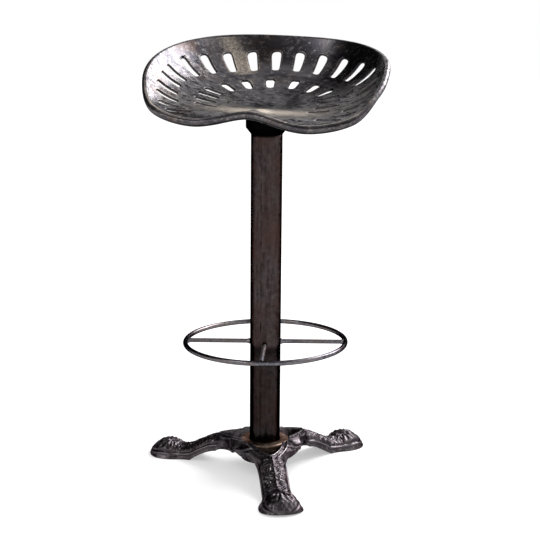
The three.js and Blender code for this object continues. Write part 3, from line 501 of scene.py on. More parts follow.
def streaked_steel(name, dark, pale, brown, darkening_and_shade, edge, gloss, bite, streak_mm=5.0, along=(1, 1, 1)):
    """Drawn or rolled steel.

    Streaks along the bar and specks of 9 mm mix into the drawn surface, brown clouds of 55 mm are
    its age. Heat and dirt leave it dark where wear is below 0, and on the column painted shade does
    too, down its two sides and as a painted shadow under the ring. Shoes leave it dull where wear is
    above 0. Drawing lines are about 0.1 mm apart, too fine to show, so streaks are drawn at
    streak_mm. Gloss is the roughness, along the stretch of the streaks, bite the depth of the
    pitting and edge the colour of reflections at a low angle.
    """
    material, tree, shader, place = new_material(name)
    stretch = add(tree, "ShaderNodeMapping", {"Vector": place, "Scale": along}).outputs[0]
    streaks, specks, clouds = [
        add(tree, "ShaderNodeTexNoise", {"Vector": where, "Scale": per_metre(size_mm), "Detail": detail,
                                         "Roughness": fineness}).outputs[0]
        for where, size_mm, detail, fineness in (
            (stretch, streak_mm, 5, 0.6), (place, 9, 8, 0.75), (place, 55, 5, 0.65))]
    wear_and_light = add(tree, "ShaderNodeAttribute", attribute_name="wear_and_light").outputs["Fac"]
    mixed = add(tree, "ShaderNodeMix", {"Factor": 0.62, "A": streaks, "B": specks}).outputs[0]
    colour = layered(tree, dark, [(mixed, 0.38, 0.64, 1.0, pale), (clouds, 0.42, 0.62, 0.6, brown),
                                  (wear_and_light, -0.1, -1.0, 0.85, darkening_and_shade)])
    shader.inputs["Specular Tint"].default_value = linear(edge)
    relief = add(tree, "ShaderNodeBump", {"Height": mixed, "Strength": bite,
                                          "Distance": 0.25 * MM}).outputs[0]
    set_metal(tree, shader, colour, relief, specks, (gloss - 0.06, gloss + 0.1), wear_and_light, 0.35)
    return material


# Sand cast, brushed by hand and lacquered: the eye gets dark polished iron with pale flecks, sharp
# reflections on the side walls, and dull tan patches where the lacquer has gone. The saddle and the
# bead's front lines are rubbed pale also as painted highlight, and the slots' lips, the bead's grooves
# and its underside are painted dark as painted shade
SEAT_IRON = lacquered_cast_iron("lacquered_cast_iron_seat", dark="#3f3d42", mid="#535053", pale="#868080",
                                stain="#4c3d35", rubbed_and_highlight="#cbbfb0", edge="#ffffff", gloss=0.2, scuffed=0.3,
                                brushed=(0.7, 1.1, 1.0))
# The same iron left rougher from the sand: darker, with a broken sparkle on the carving's crests, and
# painted dark in the pockets between the branches as painted shade
BASE_IRON = lacquered_cast_iron("lacquered_cast_iron_base", dark="#393538", mid="#504b4e", pale="#726e70",
                                stain="#47393a", rubbed_and_highlight="#8a8588", edge="#a4a1a5", gloss=0.26)
# Cast iron with a thin film of rust under old wax: a soft brown that hardly mirrors
COLLAR_IRON = lacquered_cast_iron("brown_cast_iron_collar", dark="#57483f", mid="#7c6a62", pale="#a5948b",
                                  stain="#5f4a40", rubbed_and_highlight="#a59389", edge="#8a8080", gloss=0.42)
# Rolled and welded tube, browned: long faint streaks, brown clouds, reflections at a low angle kept near
# black, and painted shade down its two sides that leaves a soft sheen down the middle
COLUMN_STEEL = streaked_steel("browned_steel_tube", dark="#221c1b", pale="#4d4546", brown="#402f2a",
                              darkening_and_shade="#060505", edge="#141211", gloss=0.4, bite=0.3, along=(1, 1, 0.1))
# Drawn bar, bare and polished by shoes: light grey with bright narrow reflections, dark at the welds
RING_STEEL = streaked_steel("bare_steel_bar", dark="#474549", pale="#7e7b82", brown="#6a5f58", darkening_and_shade="#2e2822",
                            edge="#29272b", gloss=0.18, bite=0.12)
# Machined steel blacked with oxide, made near black with no reflection so that it also stands as painted
# shade under the seat: a flat black in which hardly any form shows
BLACK_STEEL_AND_SHADE = streaked_steel("black_oxide_steel_and_shade", dark="#030303", pale="#0a090a", brown="#060505",
                             darkening_and_shade="#020202", edge="#000000", gloss=0.45, bite=0.2)
# Fasteners plated with zinc: pale grey with a satin shine
ZINC_STEEL = streaked_steel("zinc_plated_steel", dark="#85837f", pale="#b4b2ac", brown="#8f8a80",
                            darkening_and_shade="#4c4a46", edge="#ffffff", gloss=0.35, bite=0.15, streak_mm=3.0)
# Turned bearing bronze: yellow brown with a satin shine
BRONZE = streaked_steel("bearing_bronze", dark="#7a5a30", pale="#a8834c", brown="#6b5230", darkening_and_shade="#4a3820",
                        edge="#ffffff", gloss=0.35, bite=0.15, streak_mm=3.0)


# Seat


def folded(turn):
    """A turn as degrees from the back of the seat, the same on both sides."""
    return np.abs((turn + 180) % 360 - 180)


def dish_reach(turn):
    """From the seat's middle to the dish's edge, where the bead starts, at a folded turn."""
    return through(RIM_TURNS, RIM_REACHES, turn) + BEAD_WIDTH / 2 * np.cos(np.radians(BEAD_START))


def dish_height(x, y):
    """Height of the dish's upper face over the seat's own plan.

    Share is the distance from the middle over the reach at that turn. The climb is a softened cone
    plus a steep power of the share, times the rim's rise; the pommel adds a low ridge at the notch.
    """
    turn = np.degrees(np.arctan2(np.abs(x), y))
    rise = through(RIM_TURNS, RIM_RISES, turn) + BEAD_HEIGHT / 2 * np.sin(np.radians(BEAD_START))
    share = np.hypot(x, y) / dish_reach(turn)
    even = (np.hypot(share, DISH_SOFTNESS) - DISH_SOFTNESS) / (np.hypot(1, DISH_SOFTNESS) - DISH_SOFTNESS)
    slope = through(SLOPE_TURNS, SLOPE_SHARES, turn)
    steep = np.clip(share, 0, 1.05) ** through(SLOPE_TURNS, RIM_POWERS, turn)
    pommel = POMMEL_RISE * bump(x, 0, POMMEL_WIDTH) * smoothstep(*POMMEL_SPAN, -y)
    pommel = pommel * (1 - smoothstep(*POMMEL_FADE, share))
    return DISH_BOTTOM + (slope * even + (1 - slope) * steep) * rise - x * np.tan(SEAT_LEAN) + pommel


def on_dish(plan, depth=0.0):
    """Points on the dish, or a depth below it, from plan points (..., 2).

    The normal is (-fall along x, -fall along y, 1) at length 1, each fall measured over a short step.
    """
    x, y = plan[..., 0], plan[..., 1]
    step = 0.4
    fall_x = (dish_height(x + step, y) - dish_height(x - step, y)) / (2 * step)
    fall_y = (dish_height(x, y + step) - dish_height(x, y - step)) / (2 * step)
    normal = unit(stacked(-fall_x, -fall_y, 1.0))
    points = stacked(x, y, dish_height(x, y)) - normal * np.broadcast_to(depth, x.shape)[..., None]
    return points + [SEAT_SHIFT, 0, 0]


def polar(plan):
    """Turn (unwrapped along the points, in degrees) and share of plan points."""
    turn = np.arctan2(plan[..., 0], plan[..., 1])
    share = np.hypot(plan[..., 0], plan[..., 1]) / dish_reach(np.abs(np.degrees(turn)))
    return np.degrees(np.unwrap(turn, axis=-1)), share


def plan_at(turn, share):
    """Plan points from turn and share."""
    radius = share * dish_reach(folded(turn))
    return stacked(radius * np.sin(np.radians(turn)), radius * np.cos(np.radians(turn)))


def between(inner, outer, rows):
    """Rows of plan points from one closed line to another, even in turn and share."""
    turn_in, share_in = polar(inner)
    turn_out, share_out = polar(outer)
    turn_out += 360 * np.round((turn_in[0] - turn_out[0]) / 360)
    t = np.linspace(0, 1, rows + 1)[:, None]
    return plan_at(turn_in * (1 - t) + turn_out * t, share_in * (1 - t) + share_out * t)


def slot_row(row):
    """Every slot of a row in order of turn: its inner end, its run, its sideways and its sizes.

    Slots at the back point outwards, those at the sides point straight across the seat, and an S
    curve of the turn goes from one to the other. Run is a plan millimetre for each one along the slope.
    """
    count, pitch = row["back"]
    side_count, side_pitch = row["side"]
    turns = (np.arange(count) + 0.5) * pitch
    turns = np.concatenate([turns, turns[-1] + (np.arange(side_count) + 1) * side_pitch])
    slots = []
    for turn in np.concatenate([-turns[::-1], turns]):
        flat, side = abs(turn), np.sign(turn)
        sideways = smoothstep(*SLOT_TURN_SPAN, flat)
        length, width = (np.interp(sideways, [0, 1], row[size]) for size in ("length", "width"))
        taper = row["taper"] * (1 - sideways)
        heading = np.radians(flat + (SIDE_SLOT_HEADING - flat) * sideways) * side
        reach = through(ROW_TURNS, row["reach"], flat)
        start = reach * np.array([np.sin(np.radians(turn)), np.cos(np.radians(turn))])
        ahead = np.array([np.sin(heading), np.cos(heading)])
        ends = on_dish(np.array([start, start + ahead * 0.8 * length]))
        slant = ends[1] - ends[0]
        run = ahead * np.hypot(slant[0], slant[1]) / np.linalg.norm(slant)
        across = np.array([-ahead[1], ahead[0]])
        slots.append(dict(start=start, run=run, across=across, length=length, inner=width / 2,
                          outer=(width + taper) / 2, squareness=row["squareness"]))
    return slots


def squared(value, squareness):
    """A sine or cosine bent so that a circle becomes a squarish round."""
    return np.sign(value) * np.abs(value) ** (2 / squareness)


def slot_line(slot, arc, edge, swell=0.0):
    """A slot's outline in plan: round inner end, straight side, round outer end, straight side."""
    inner, outer, length, square = slot["inner"], slot["outer"], slot["length"], slot["squareness"]
    half = np.linspace(0.5 * np.pi, 1.5 * np.pi, arc + 1)[:-1]
    other = np.linspace(-0.5 * np.pi, 0.5 * np.pi, arc + 1)[:-1]
    t = np.linspace(0, 1, edge + 1)[:-1]
    low, high = inner + swell, outer + swell
    along = np.concatenate([inner + low * squared(np.cos(half), square), inner + (length - outer - inner) * t,
                            length - outer + high * squared(np.cos(other), square),
                            length - outer - (length - outer - inner) * t])
    aside = np.concatenate([low * squared(np.sin(half), square), -(low + (high - low) * t),
                            high * squared(np.sin(other), square), high + (low - high) * t])
    return slot["start"] + along[:, None] * slot["run"] + aside[:, None] * slot["across"]


def slot_cell(slot, corners, arc, edge):
    """The piece of dish round one slot: from the cell's edge in to the slot, through it and back below.

    Rows step from the four-sided cell line to the slot's line, round the lip, down the wall and
    out again on the underside.
    """
    in_low, in_high, out_low, out_high = corners
    a = np.linspace(0, 1, arc + 1)[:-1, None]
    e = np.linspace(0, 1, edge + 1)[:-1, None]
    cell = np.concatenate([in_low + (in_high - in_low) * a, in_high + (out_high - in_high) * e,
                           out_high + (out_low - out_high) * a, out_low + (in_low - out_low) * e])
    wall = slot_line(slot, arc, edge)
    lip, low_lip = slot_line(slot, arc, edge, SLOT_LIP_WIDTH), slot_line(slot, arc, edge, SLOT_LOW_ROUND)
    lines = [lip + (cell - lip) * t for t in np.linspace(1, 0, CELL_ROWS)]
    depths = [0.0] * CELL_ROWS
    for turn in np.radians(LIP_TURNS):
        lines.append(wall + (lip - wall) * (1 - np.cos(turn)))
        depths.append(SLOT_LIP_DEPTH * (1 - np.sin(turn)))
    for turn in np.radians(LOW_TURNS):
        lines.append(wall + (low_lip - wall) * (1 - np.cos(turn)))
        depths.append(SEAT_WALL - SLOT_LOW_ROUND * (1 - np.sin(turn)))
    for t in (0.5, 1):
        lines.append(low_lip + (cell - low_lip) * t)
        depths.append(SEAT_WALL)
    plan = np.array(lines)
    row = np.arange(len(lines))[:, None]
    points = on_dish(plan, np.array(depths)[:, None])
    # Wear down the slot with its painted dark line round the lip, and the seat's rubbed patch and saddle on
    # the upper rows
    return points, bells(row, SLOT_WEAR_AND_SHADE) + rubbed_and_highlight(points) * (row <= LAST_WORN_ROW)


def slotted_band(row):
    """All of a row's cells, the plain stretch at the front, and the band's two edge lines in plan.

    A cell's borders lie midway between neighbours. The plain stretch is even in turn and share from
    the last cell's border to the first one's.
    """
    slots = slot_row(row)
    arc, edge = row["arc"], row["edge"]
    gap_columns = SEAT_COLUMNS - len(slots) * arc
    margins = [unit(slot["run"]) * SLOT_MARGIN for slot in slots]
    inner = np.array([slot["start"] - margin for slot, margin in zip(slots, margins)])
    outer = np.array([slot["start"] + slot["run"] * slot["length"] + margin
                      for slot, margin in zip(slots, margins)])

    def borders(ends):
        """Points midway between neighbours, and one past each end of the row."""
        mids = (ends[:-1] + ends[1:]) / 2
        return np.concatenate([[2 * ends[0] - mids[0]], mids, [2 * ends[-1] - mids[-1]]])

    low, high = borders(inner), borders(outer)
    grids = []
    for k, slot in enumerate(slots):
        corners = low[k], low[k + 1], high[k], high[k + 1]
        cell, wear_and_light = slot_cell(slot, corners, arc, edge)
        grids.append((cell, "c", wear_and_light))
    a = np.linspace(0, 1, arc + 1)[:-1, None]
    e = np.linspace(0, 1, edge + 1)[:, None]
    first, last = low[0] + (high[0] - low[0]) * e, low[-1] + (high[-1] - low[-1]) * e
    turn_last, share_last = polar(last)
    turn_first, share_first = polar(first)
    turn_first = turn_first + 360 * np.ceil((turn_last[0] - turn_first[0]) / 360)
    g = np.linspace(0, 1, gap_columns + 1)
    front = plan_at(turn_last[:, None] * (1 - g) + turn_first[:, None] * g,
                    share_last[:, None] * (1 - g) + share_first[:, None] * g)
    grids.append((on_dish(front), "", rubbed_and_highlight(on_dish(front))))
    grids.append((on_dish(front, SEAT_WALL)[:, ::-1], "", 0))
    edges = [np.concatenate([here + (there - here) * a for here, there in zip(ends[:-1], ends[1:])] + [plain])
             for ends, plain in ((low, front[0, :-1]), (high, front[-1, :-1]))]
    return grids, *edges


def at_front(turn):
    """1 round the front of the rim, 0 along its sides and back."""
    return smoothstep(*FRONT_TURNS, folded(turn))


def bead_point(turn, degrees):
    """The rim bead: a squared ellipse round the rim's middle line, grooved on the outside at the front."""
    angle = np.radians(degrees)
    groove = BEAD_GROOVE * bump(degrees, GROOVE_AT, 14) * at_front(turn)
    out = squared(np.cos(angle), BEAD_SQUARENESS) * (BEAD_WIDTH / 2 - groove)
    up = squared(np.sin(angle), BEAD_SQUARENESS) * (BEAD_HEIGHT / 2 - groove)
    reach = through(RIM_TURNS, RIM_REACHES, folded(turn)) + out
    x, y = reach * np.sin(np.radians(turn)), reach * np.cos(np.radians(turn))
    height = DISH_BOTTOM + through(RIM_TURNS, RIM_RISES, folded(turn)) + up - x * np.tan(SEAT_LEAN)
    return stacked(x + SEAT_SHIFT, y, height)


def rubbed_and_highlight(points):
    """Wear of the dish's face: bells for the scuffed patch on the back wall and the saddle in front."""
    x, y, height = points[..., 0] - SEAT_SHIFT, points[..., 1], points[..., 2]
    slanted = x + SCUFF_SLANT * (height - SCUFF_MIDDLE[2])
    patch = bump(slanted, SCUFF_MIDDLE[0], SCUFF_SIZE[0]) * bump(y, SCUFF_MIDDLE[1], SCUFF_SIZE[1])
    # The saddle's rubbed pale colour also stands as a painted highlight
    saddle = bump(x, SADDLE_MIDDLE[0], SADDLE_SIZE[0]) * bump(y, SADDLE_MIDDLE[1], SADDLE_SIZE[1])
    return SCUFF_STRENGTH * patch + SADDLE_WEAR_AND_HIGHLIGHT * saddle


def seat_grids():
    """The whole seat pan: middle, inner slots, band, outer slots, outer band, bead and underside.

    Rows of points go from the middle outwards, each at an even share of the way from one closed
    line to the next, over the bead's squared ellipse and back under it to the outer band.
    """
    inner_grids, inner_in, inner_out = slotted_band(INNER_SLOTS)
    outer_grids, outer_in, outer_out = slotted_band(OUTER_SLOTS)
    grids = inner_grids + outer_grids
    turn, share = polar(inner_in)
    middle = plan_at(turn[None, :], share[None, :] * np.linspace(0, 1, MIDDLE_ROWS + 1)[:, None])
    band = between(inner_out, outer_in, BAND_ROWS)
    turn_edge, share_edge = polar(outer_out)
    rim = between(outer_out, plan_at(turn_edge, np.ones_like(share_edge)), RIM_ROWS)
    across = np.linspace(0, 1, len(band))[:, None]
    # Darker along the middle of the band between the slot rows, towards the back
    band_darkening = BAND_DARKENING * np.sin(np.pi * across) * np.clip(band[..., 1] / BAND_DARKENING_REACH, 0, 1)
    for plan, darkening_and_shade in ((middle, 0), (band, band_darkening), (rim, 0)):
        grids.append((on_dish(plan), "c", rubbed_and_highlight(on_dish(plan)) - darkening_and_shade))
    for plan in (middle, band):
        grids.append((on_dish(plan, SEAT_WALL)[:, ::-1], "c", 0))
    angles = np.linspace(BEAD_START, BEAD_END, BEAD_ROWS + 1)
    start = on_dish(rim[-1])
    bead = np.array([bead_point(turn_edge, angle) for angle in angles])
    settle = bump(np.arange(len(bead)), 0, 1.5)[:, None, None]
    bead = bead + (start - bead[0]) * settle
    # The bead's painted highlight and painted shade lie mostly round the front
    marked = 0.08 + 0.92 * at_front(turn_edge)
    grids.append((bead, "c", bells(angles, BEAD_WEAR_AND_PAINTED_LIGHT)[:, None] * marked[None, :]))
    t = np.linspace(0, 1, UNDER_ROWS + 1)[:, None, None]
    below = on_dish(outer_out, SEAT_WALL)
    grids.append(((bead[-1] * (1 - t) + below * t), "c", 0))
    return grids


mesh_piece("seat_casting", seat_grids(), SEAT_IRON, "seat", ["seat_pan"])


def seat_boss_grid():
    """The round boss under the dish: up its side from the swivel plate and into the dish's wall.

    Rings of points round the column, level at the foot. The fillet's rings rise by shares of the
    way from the foot to the dish's underside, and the last ones close the top inside the wall.
    """
    turn = np.radians(np.linspace(0, 360, TURNED_STEPS, endpoint=False))
    bottom = PLATE_TOP + PLATE_GAP

    def underside(radius):
        """Height of the dish's underside on a circle round the column."""
        return dish_height(radius * np.sin(turn) - SEAT_SHIFT, radius * np.cos(turn)) - SEAT_WALL

    rings = [(0, bottom), (BOSS_RADIUS - BOSS_EDGE, bottom), (BOSS_RADIUS - 0.4, bottom + 0.5),
             (BOSS_RADIUS, bottom + BOSS_EDGE)]
    for rise, spread in BOSS_FILLET:
        radius = BOSS_RADIUS + 0.5 + spread
        rings.append((radius, bottom + BOSS_EDGE + (underside(radius) - bottom - BOSS_EDGE) * rise))
    for radius in BOSS_TOP_RADII:
        rings.append((radius, underside(radius) + BOSS_SINK))
    grid = np.array([stacked(radius * np.sin(turn), radius * np.cos(turn), height)
                     for radius, height in rings])
    grid[-1, :, 2] = grid[-1, 0, 2]
    return grid


mesh_piece("seat_boss", [(seat_boss_grid()[:, ::-1], "c", 0)], SEAT_IRON, "seat")


# Legs


def leg_crest(reach):
    """Height of a leg's top along its middle."""
    return through(CREST_REACHES, CREST_HEIGHTS, reach)


def leg_underside(reach):
    """Height of a leg's underside: level at the hub, an arch down to the sole, a lift under the toe."""
    fall = np.clip((reach - ARCH_REACH) / (HEEL_REACH - ARCH_REACH), 0, 1)
    lift = np.clip(1 - (LEG_REACH - reach) / TOE_LIFT_LENGTH, 0, 1)
    return ARCH_HEIGHT * (1 - fall ** 1.6) + TOE_LIFT * lift ** 2


def toe_share(reach):
    """What the toe's rounding leaves of width and height: 1 before the toe, 0 at its tip."""
    along = np.clip((reach - LEG_REACH + TOE_LENGTH) / TOE_LENGTH, 0, 1)
    return (1 - along ** TOE_SQUARENESS) ** (1 / TOE_SQUARENESS)


def hub_share(reach):
    """0 outside the branching hub, 1 at the collar."""
    return np.clip((BRANCH_START - reach) / (BRANCH_START - COLLAR_RADIUS), 0, None)


def leg_half_width(reach, up):
    """Half a leg's width: a waist at the neck, wider at the knob, the sole spreading low down.

    The spread falls with the cube of the way up, and the branches add a power of the hub's share.
    """
    body = through([NECK_REACH, KNOB_REACH], [LEG_HALF, KNOB_HALF], reach)
    sole = through([HEEL_REACH, HEEL_REACH + HEEL_LENGTH], [0, 1], reach)
    spread = (SOLE_HALF - body) * sole * (1 - up) ** 3
    return (body + spread + BRANCH_SPREAD * hub_share(reach) ** 1.6) * toe_share(reach)


def pocket_room(x, y):
    """How far a plan place is outside the pocket between a leg's two branches, below 0 inside it.

    The pocket's line is a half of a squarish ellipse. The distance is the place's distance from the
    ellipse's middle times one minus one over the place's size in that ellipse.
    """
    out = np.maximum(x - POCKET_ROOT, 0)
    size = ((out / (POCKET_REACH - POCKET_ROOT)) ** POCKET_SQUARENESS
            + (np.abs(y) / POCKET_HALF) ** POCKET_SQUARENESS) ** (1 / POCKET_SQUARENESS)
    return np.hypot(out, y) * (1 - 1 / np.maximum(size, 1e-6))


def leg_relief(x, y, lift):
    """Carving on a leg, in mm along its normal; lift is 0 at the sole's edge and 90 along the top's middle.

    A ridge line runs along each side, over a smooth wall. Above it leaves lie in pairs along the
    band, uneven as cast. On the foot petals fan out from the knob, over a groove round the toe.
    """
    shank = smoothstep(*SHANK_START, x) * (1 - smoothstep(*SHANK_END, x))
    foot = smoothstep(*FOOT_START, x)
    band = smoothstep(*BAND_EDGE, lift)
    plan = stacked(x, y, 0)
    wander = 0.42 * ripple(plan, *WANDER_FIELD)
    strength = 0.75 + 0.45 * ripple(plan, *STRENGTH_FIELD)
    drift = CARVING_DRIFT * wander

    leaf = (x + LEAF_SLANT * np.abs(y)) / LEAF_PITCH + wander
    lobes = np.maximum(np.sin(2 * np.pi * leaf), -0.35) * bump(np.abs(y), LEAF_ASIDE + drift, LEAF_WIDTH)
    rib = (RIB_SLANT * x - np.abs(y)) / RIB_PITCH + wander
    ribs = RIB_DEPTH * np.sin(2 * np.pi * rib) * bump(np.abs(y), RIB_ASIDE, RIB_WIDTH)
    vein = VEIN_DEPTH * bump(y, drift, VEIN_WIDTH) * np.maximum(strength, 0)
    cast = 0.5 * ripple(plan, *FINE_CAST_FIELD) + 0.4 * ripple(plan, *COARSE_CAST_FIELD)
    carving = (LEAF_DEPTH * (lobes * strength) + ribs + vein + CAST_DEPTH * cast) * band * (1 - foot)
    carving = carving * smoothstep(POCKET_REACH + 1, POCKET_REACH + 8, x)

    far, way = np.hypot(x - FAN_REACH, y), np.arctan2(np.abs(y), x - FAN_REACH)
    petals = (np.sin(way * PETAL_COUNT + PETAL_TURN + wander) * smoothstep(*PETAL_START, far)
              * (1 - smoothstep(*PETAL_END, far + 4 * np.cos(way))))
    petals = (PETAL_DEPTH * petals + 0.5 * ripple(plan, *PETAL_FIELD)) * foot * smoothstep(*PETAL_EDGE, lift)

    brow_line = BROW_REACH + 0.2 * np.abs(y)
    brow = (0.8 * bump(x, brow_line, 2.6) - 0.6 * bump(x, brow_line - 5, 2.2)) * band
    return bells(lift, SIDE_RIDGE) * shank + carving + petals + brow + bells(lift, TOE_GROOVE) * foot


def leg_grid():
    """One leg along +X as closed rings of points: over the top, then back along the underside.

    Rings leave the collar as arcs and straighten out by the end of the branches. Between the
    seams they end on the plane shared with the next leg, a hair short of it. The pocket between
    the branches is sunk into the top, with one ridge round it and one along each branch's far side.
    """
    turn = np.linspace(0, np.pi, LEG_STEPS + 1)
    hub = np.linspace(0, 1, HUB_ROWS + 1)[:-1]
    shank = np.linspace(BRANCHES_END, LEG_REACH - TOE_LENGTH, SHANK_ROWS)
    toe = np.sin(np.linspace(0, np.pi / 2, TOE_ROWS + 1)[1:]) ** (2 / TOE_SQUARENESS)
    straight = np.concatenate([shank, LEG_REACH - TOE_LENGTH + TOE_LENGTH * toe])
    middle = np.concatenate([COLLAR_RADIUS + (BRANCHES_END - COLLAR_RADIUS) * hub, straight])[:, None]
    edge = np.concatenate([COLLAR_RADIUS / 2 + (BRANCHES_END - COLLAR_RADIUS / 2) * hub, straight])[:, None]
    arched = np.concatenate([1 - hub, np.zeros(len(straight))])[:, None]
    square = SECTION_SQUARENESS + HUB_SQUARENESS * (1 - smoothstep(*HUB_SQUARED, edge))
    level, rise = np.cos(turn), np.maximum(np.sin(turn), 0)
    size = (np.abs(level) ** square + rise ** square) ** (1 / square)
    across, up = level / size, rise / size

    def place(up):
        """Plan position of the rings' points at a level: a straight ring's, blended into an arc's."""
        seam = np.radians(SEAM_ANGLE)
        wedge = edge * np.tan(seam) - 2 * SEAM_GAP
        half = np.minimum(leg_half_width(edge, up), wedge)
        swing = (1 - np.cos(across * seam)) / (1 - np.cos(seam))
        bow = across ** 2 * (1 - arched) + swing * arched
        fan = np.sin(across * seam) / np.sin(seam)
        return middle + (edge - middle) * bow, half * (across * (1 - arched) + fan * arched)

    x_top, y_top = place(up)
    x_low, y_low = place(np.zeros_like(up))
    reach = np.hypot(x_top, y_top * smoothstep(120, 80, x_top))
    base = leg_underside(x_low) + BRANCH_RISE * np.minimum(1, hub_share(x_low) * 1.5) * across ** 2
    crest = leg_crest(np.maximum(reach, COLLAR_RADIUS)) + CROWN_RISE * (1 - np.abs(across)) ** 6
    room = pocket_room(x_top, y_top)
    hub_part = smoothstep(POCKET_REACH + 16, POCKET_REACH - 6, x_top)
    crest = crest - FLANK_DROP * smoothstep(16, 30, room) * hub_part * smoothstep(16, 30, np.abs(y_top))
    z_top = base + (crest - base) * toe_share(x_top) * up
    hollow = (0.5 * ripple(stacked(x_top, y_top, 0), *HOLLOW_FIELD) - 0.7) * bump(room, *RIDGE_HOLLOW)
    far_ridge = bump(room, *FAR_RIDGE) * smoothstep(14, 20, np.abs(y_top))
    ridges = POCKET_RIDGE * bump(room, *NEAR_RIDGE) + POCKET_RIDGE * far_ridge + hollow
    sunk = smoothstep(1.0, -1.8, room) * (x_top < POCKET_REACH + 6)
    z_top = z_top + ridges * smoothstep(POCKET_REACH + 20, POCKET_REACH + 4, x_top) * up ** 2
    z_top = z_top + (np.minimum(POCKET_FLOOR, z_top) - z_top) * sunk
    top = stacked(x_top, y_top, z_top)
    grid = np.concatenate([top, stacked(x_low, y_low, base)[:, ::-1][:, 1:-1]], 1)
    normal = unit(np.cross(np.gradient(top, axis=1), np.gradient(top, axis=0)))
    lift = np.degrees(np.minimum(turn, np.pi - turn)) + 0 * x_top
    carve = leg_relief(x_top, y_top, lift) * (1 - sunk) * toe_share(x_top)
    grid[:, :LEG_STEPS + 1] += normal * carve[..., None]
    wear_and_light = np.zeros(grid.shape[:2])
    # Carving crests and ridges are rubbed and carving hollows darker; the sunk pocket is painted dark as
    # painted shade
    wear_and_light[:, :LEG_STEPS + 1] = np.clip(carve / 1.8, -0.55, 1) + ridges * 0.5 * hub_part - 0.9 * sunk
    inner_top = grid[0, :LEG_STEPS + 1]
    inner_low = np.concatenate([grid[0, :1], grid[0, LEG_STEPS + 1:][::-1], grid[0, LEG_STEPS:LEG_STEPS + 1]])
    hub_wall = np.stack([inner_low, inner_top])
    cap = np.stack([grid[-1], np.broadcast_to(grid[-1].mean(axis=0), grid[-1].shape)])
    return [(grid, "c", wear_and_light), (hub_wall, "", -0.5), (cap, "c", 0)]


def turned_about(grid, degrees):
    """A grid turned round the column axis."""
    c, s = np.cos(np.radians(degrees)), np.sin(np.radians(degrees))
    return grid @ np.array([[c, s, 0], [-s, c, 0], [0, 0, 1]])


LEG = leg_grid()
for side, angle in LEG_ANGLES.items():
    leg = [(turned_about(grid, angle), note, wear_and_light) for grid, note, wear_and_light in LEG]
    mesh_piece(f"leg_{side}_casting", leg, BASE_IRON, "base", [f"leg_{side}"])
tongues = turned([(0, ARCH_HEIGHT), (COLLAR_RADIUS - 1, ARCH_HEIGHT),
                  (COLLAR_RADIUS - 1, ARCH_HEIGHT + TONGUE_THICKNESS), (0, ARCH_HEIGHT + TONGUE_THICKNESS)])
mesh_piece("leg_tongues", [(tongues, "c", 0)], BASE_IRON, "base")


# Collar and column
collar_bore = COLUMN_RADIUS + COLLAR_CLEARANCE
collar = [(collar_bore, COLLAR_BOTTOM), (COLLAR_RADIUS, COLLAR_BOTTOM),
          (COLLAR_RADIUS, COLLAR_TOP - COLLAR_ROUNDING), (COLLAR_RADIUS - COLLAR_ROUNDING, COLLAR_TOP),
          (collar_bore, COLLAR_TOP), (collar_bore, COLLAR_BOTTOM)]
mesh_piece("collar_ring", [(turned(collar, round_off=1.6), "c", 0)], COLLAR_IRON, "base",
           ["hub_collar"])


def column_grids():
    """The tube: an outer and an inner wall round the axis, joined by flat ends.

    Its radius gains a slight unevenness and a low bead at the welded seam. It is scorched along the
    seam, painted darker down its two sides as painted shade, darker below the foot rest, and given
    a painted shadow of the ring just under it.
    """
    height = np.linspace(COLUMN_BOTTOM, COLUMN_TOP, COLUMN_ROWS)[:, None]
    degrees = np.concatenate([np.arange(0, 360, 3), WELD_SEAM_AT + np.linspace(-2.5, 2.5, 11)])
    degrees = np.sort(degrees)[None, :]
    turn = np.radians(degrees)
    seam = bump(degrees, WELD_SEAM_AT, 1.1)
    around = 30  # mm, the radius at which the uneven fields are read
    place = stacked(around * np.cos(turn), around * np.sin(turn), height)
    outer = COLUMN_RADIUS + 0.06 * ripple(place, *TUBE_FIELD) - 0.06 + 0.22 * seam
    inner = COLUMN_RADIUS - COLUMN_WALL
    walls = [stacked(radius * np.cos(turn), radius * np.sin(turn), height) for radius in (outer, inner)]
    blotch = 0.6 + 0.4 * ripple(place, *SCORCH_FIELD)
    # Darker below the foot rest, and a band of painted shadow cast by the ring just under it
    low = 0.7 * smoothstep(RING_MIDDLE + 2, RING_MIDDLE - 8, height) + 0.3 * bump(height, RING_MIDDLE - 14, 9)
    scorch = bump(degrees, WELD_SEAM_AT - 2, 1.6) * blotch
    # The scorch along the seam is heat tint, the side bells are painted shade, and low darkens below the foot
    # rest
    wear_and_light = -scorch - bells(degrees, PAINTED_SIDE_SHADE) * (0.8 + 0.2 * ripple(place, *SIDE_SHADE_FIELD)) - low
    ends = [np.stack([walls[1][k], walls[0][k]]) for k in (0, -1)]
    return [(walls[0], "c", wear_and_light), (walls[1][:, ::-1], "c", 0), (ends[0], "c", 0), (ends[1][::-1], "c", 0)]


mesh_piece("column_pipe", column_grids(), COLUMN_STEEL, "base", ["column_tube"])


# Foot rest


def lean(grid):
    """The ring's small lean: higher towards +X, with the ring's own height added."""
    c, s = np.cos(RING_LEAN), np.sin(RING_LEAN)
    x, z = grid[..., 0], grid[..., 2]
    return stacked(x * c - z * s, grid[..., 1], x * s + z * c + RING_MIDDLE)


def ring_grid():
    """A round bar bent into a circle: out by the bar's cosine, up by its sine, swept round the axis."""
    round_ring = np.linspace(0, 2 * np.pi, 256, endpoint=False)[:, None]
    round_bar = np.linspace(0, 2 * np.pi, 28, endpoint=False)[None, :]
    out = RING_RADIUS + RING_BAR / 2 * np.cos(round_bar)
    up = RING_BAR / 2 * np.sin(round_bar)
    return lean(stacked(out * np.cos(round_ring), out * np.sin(round_ring), up))


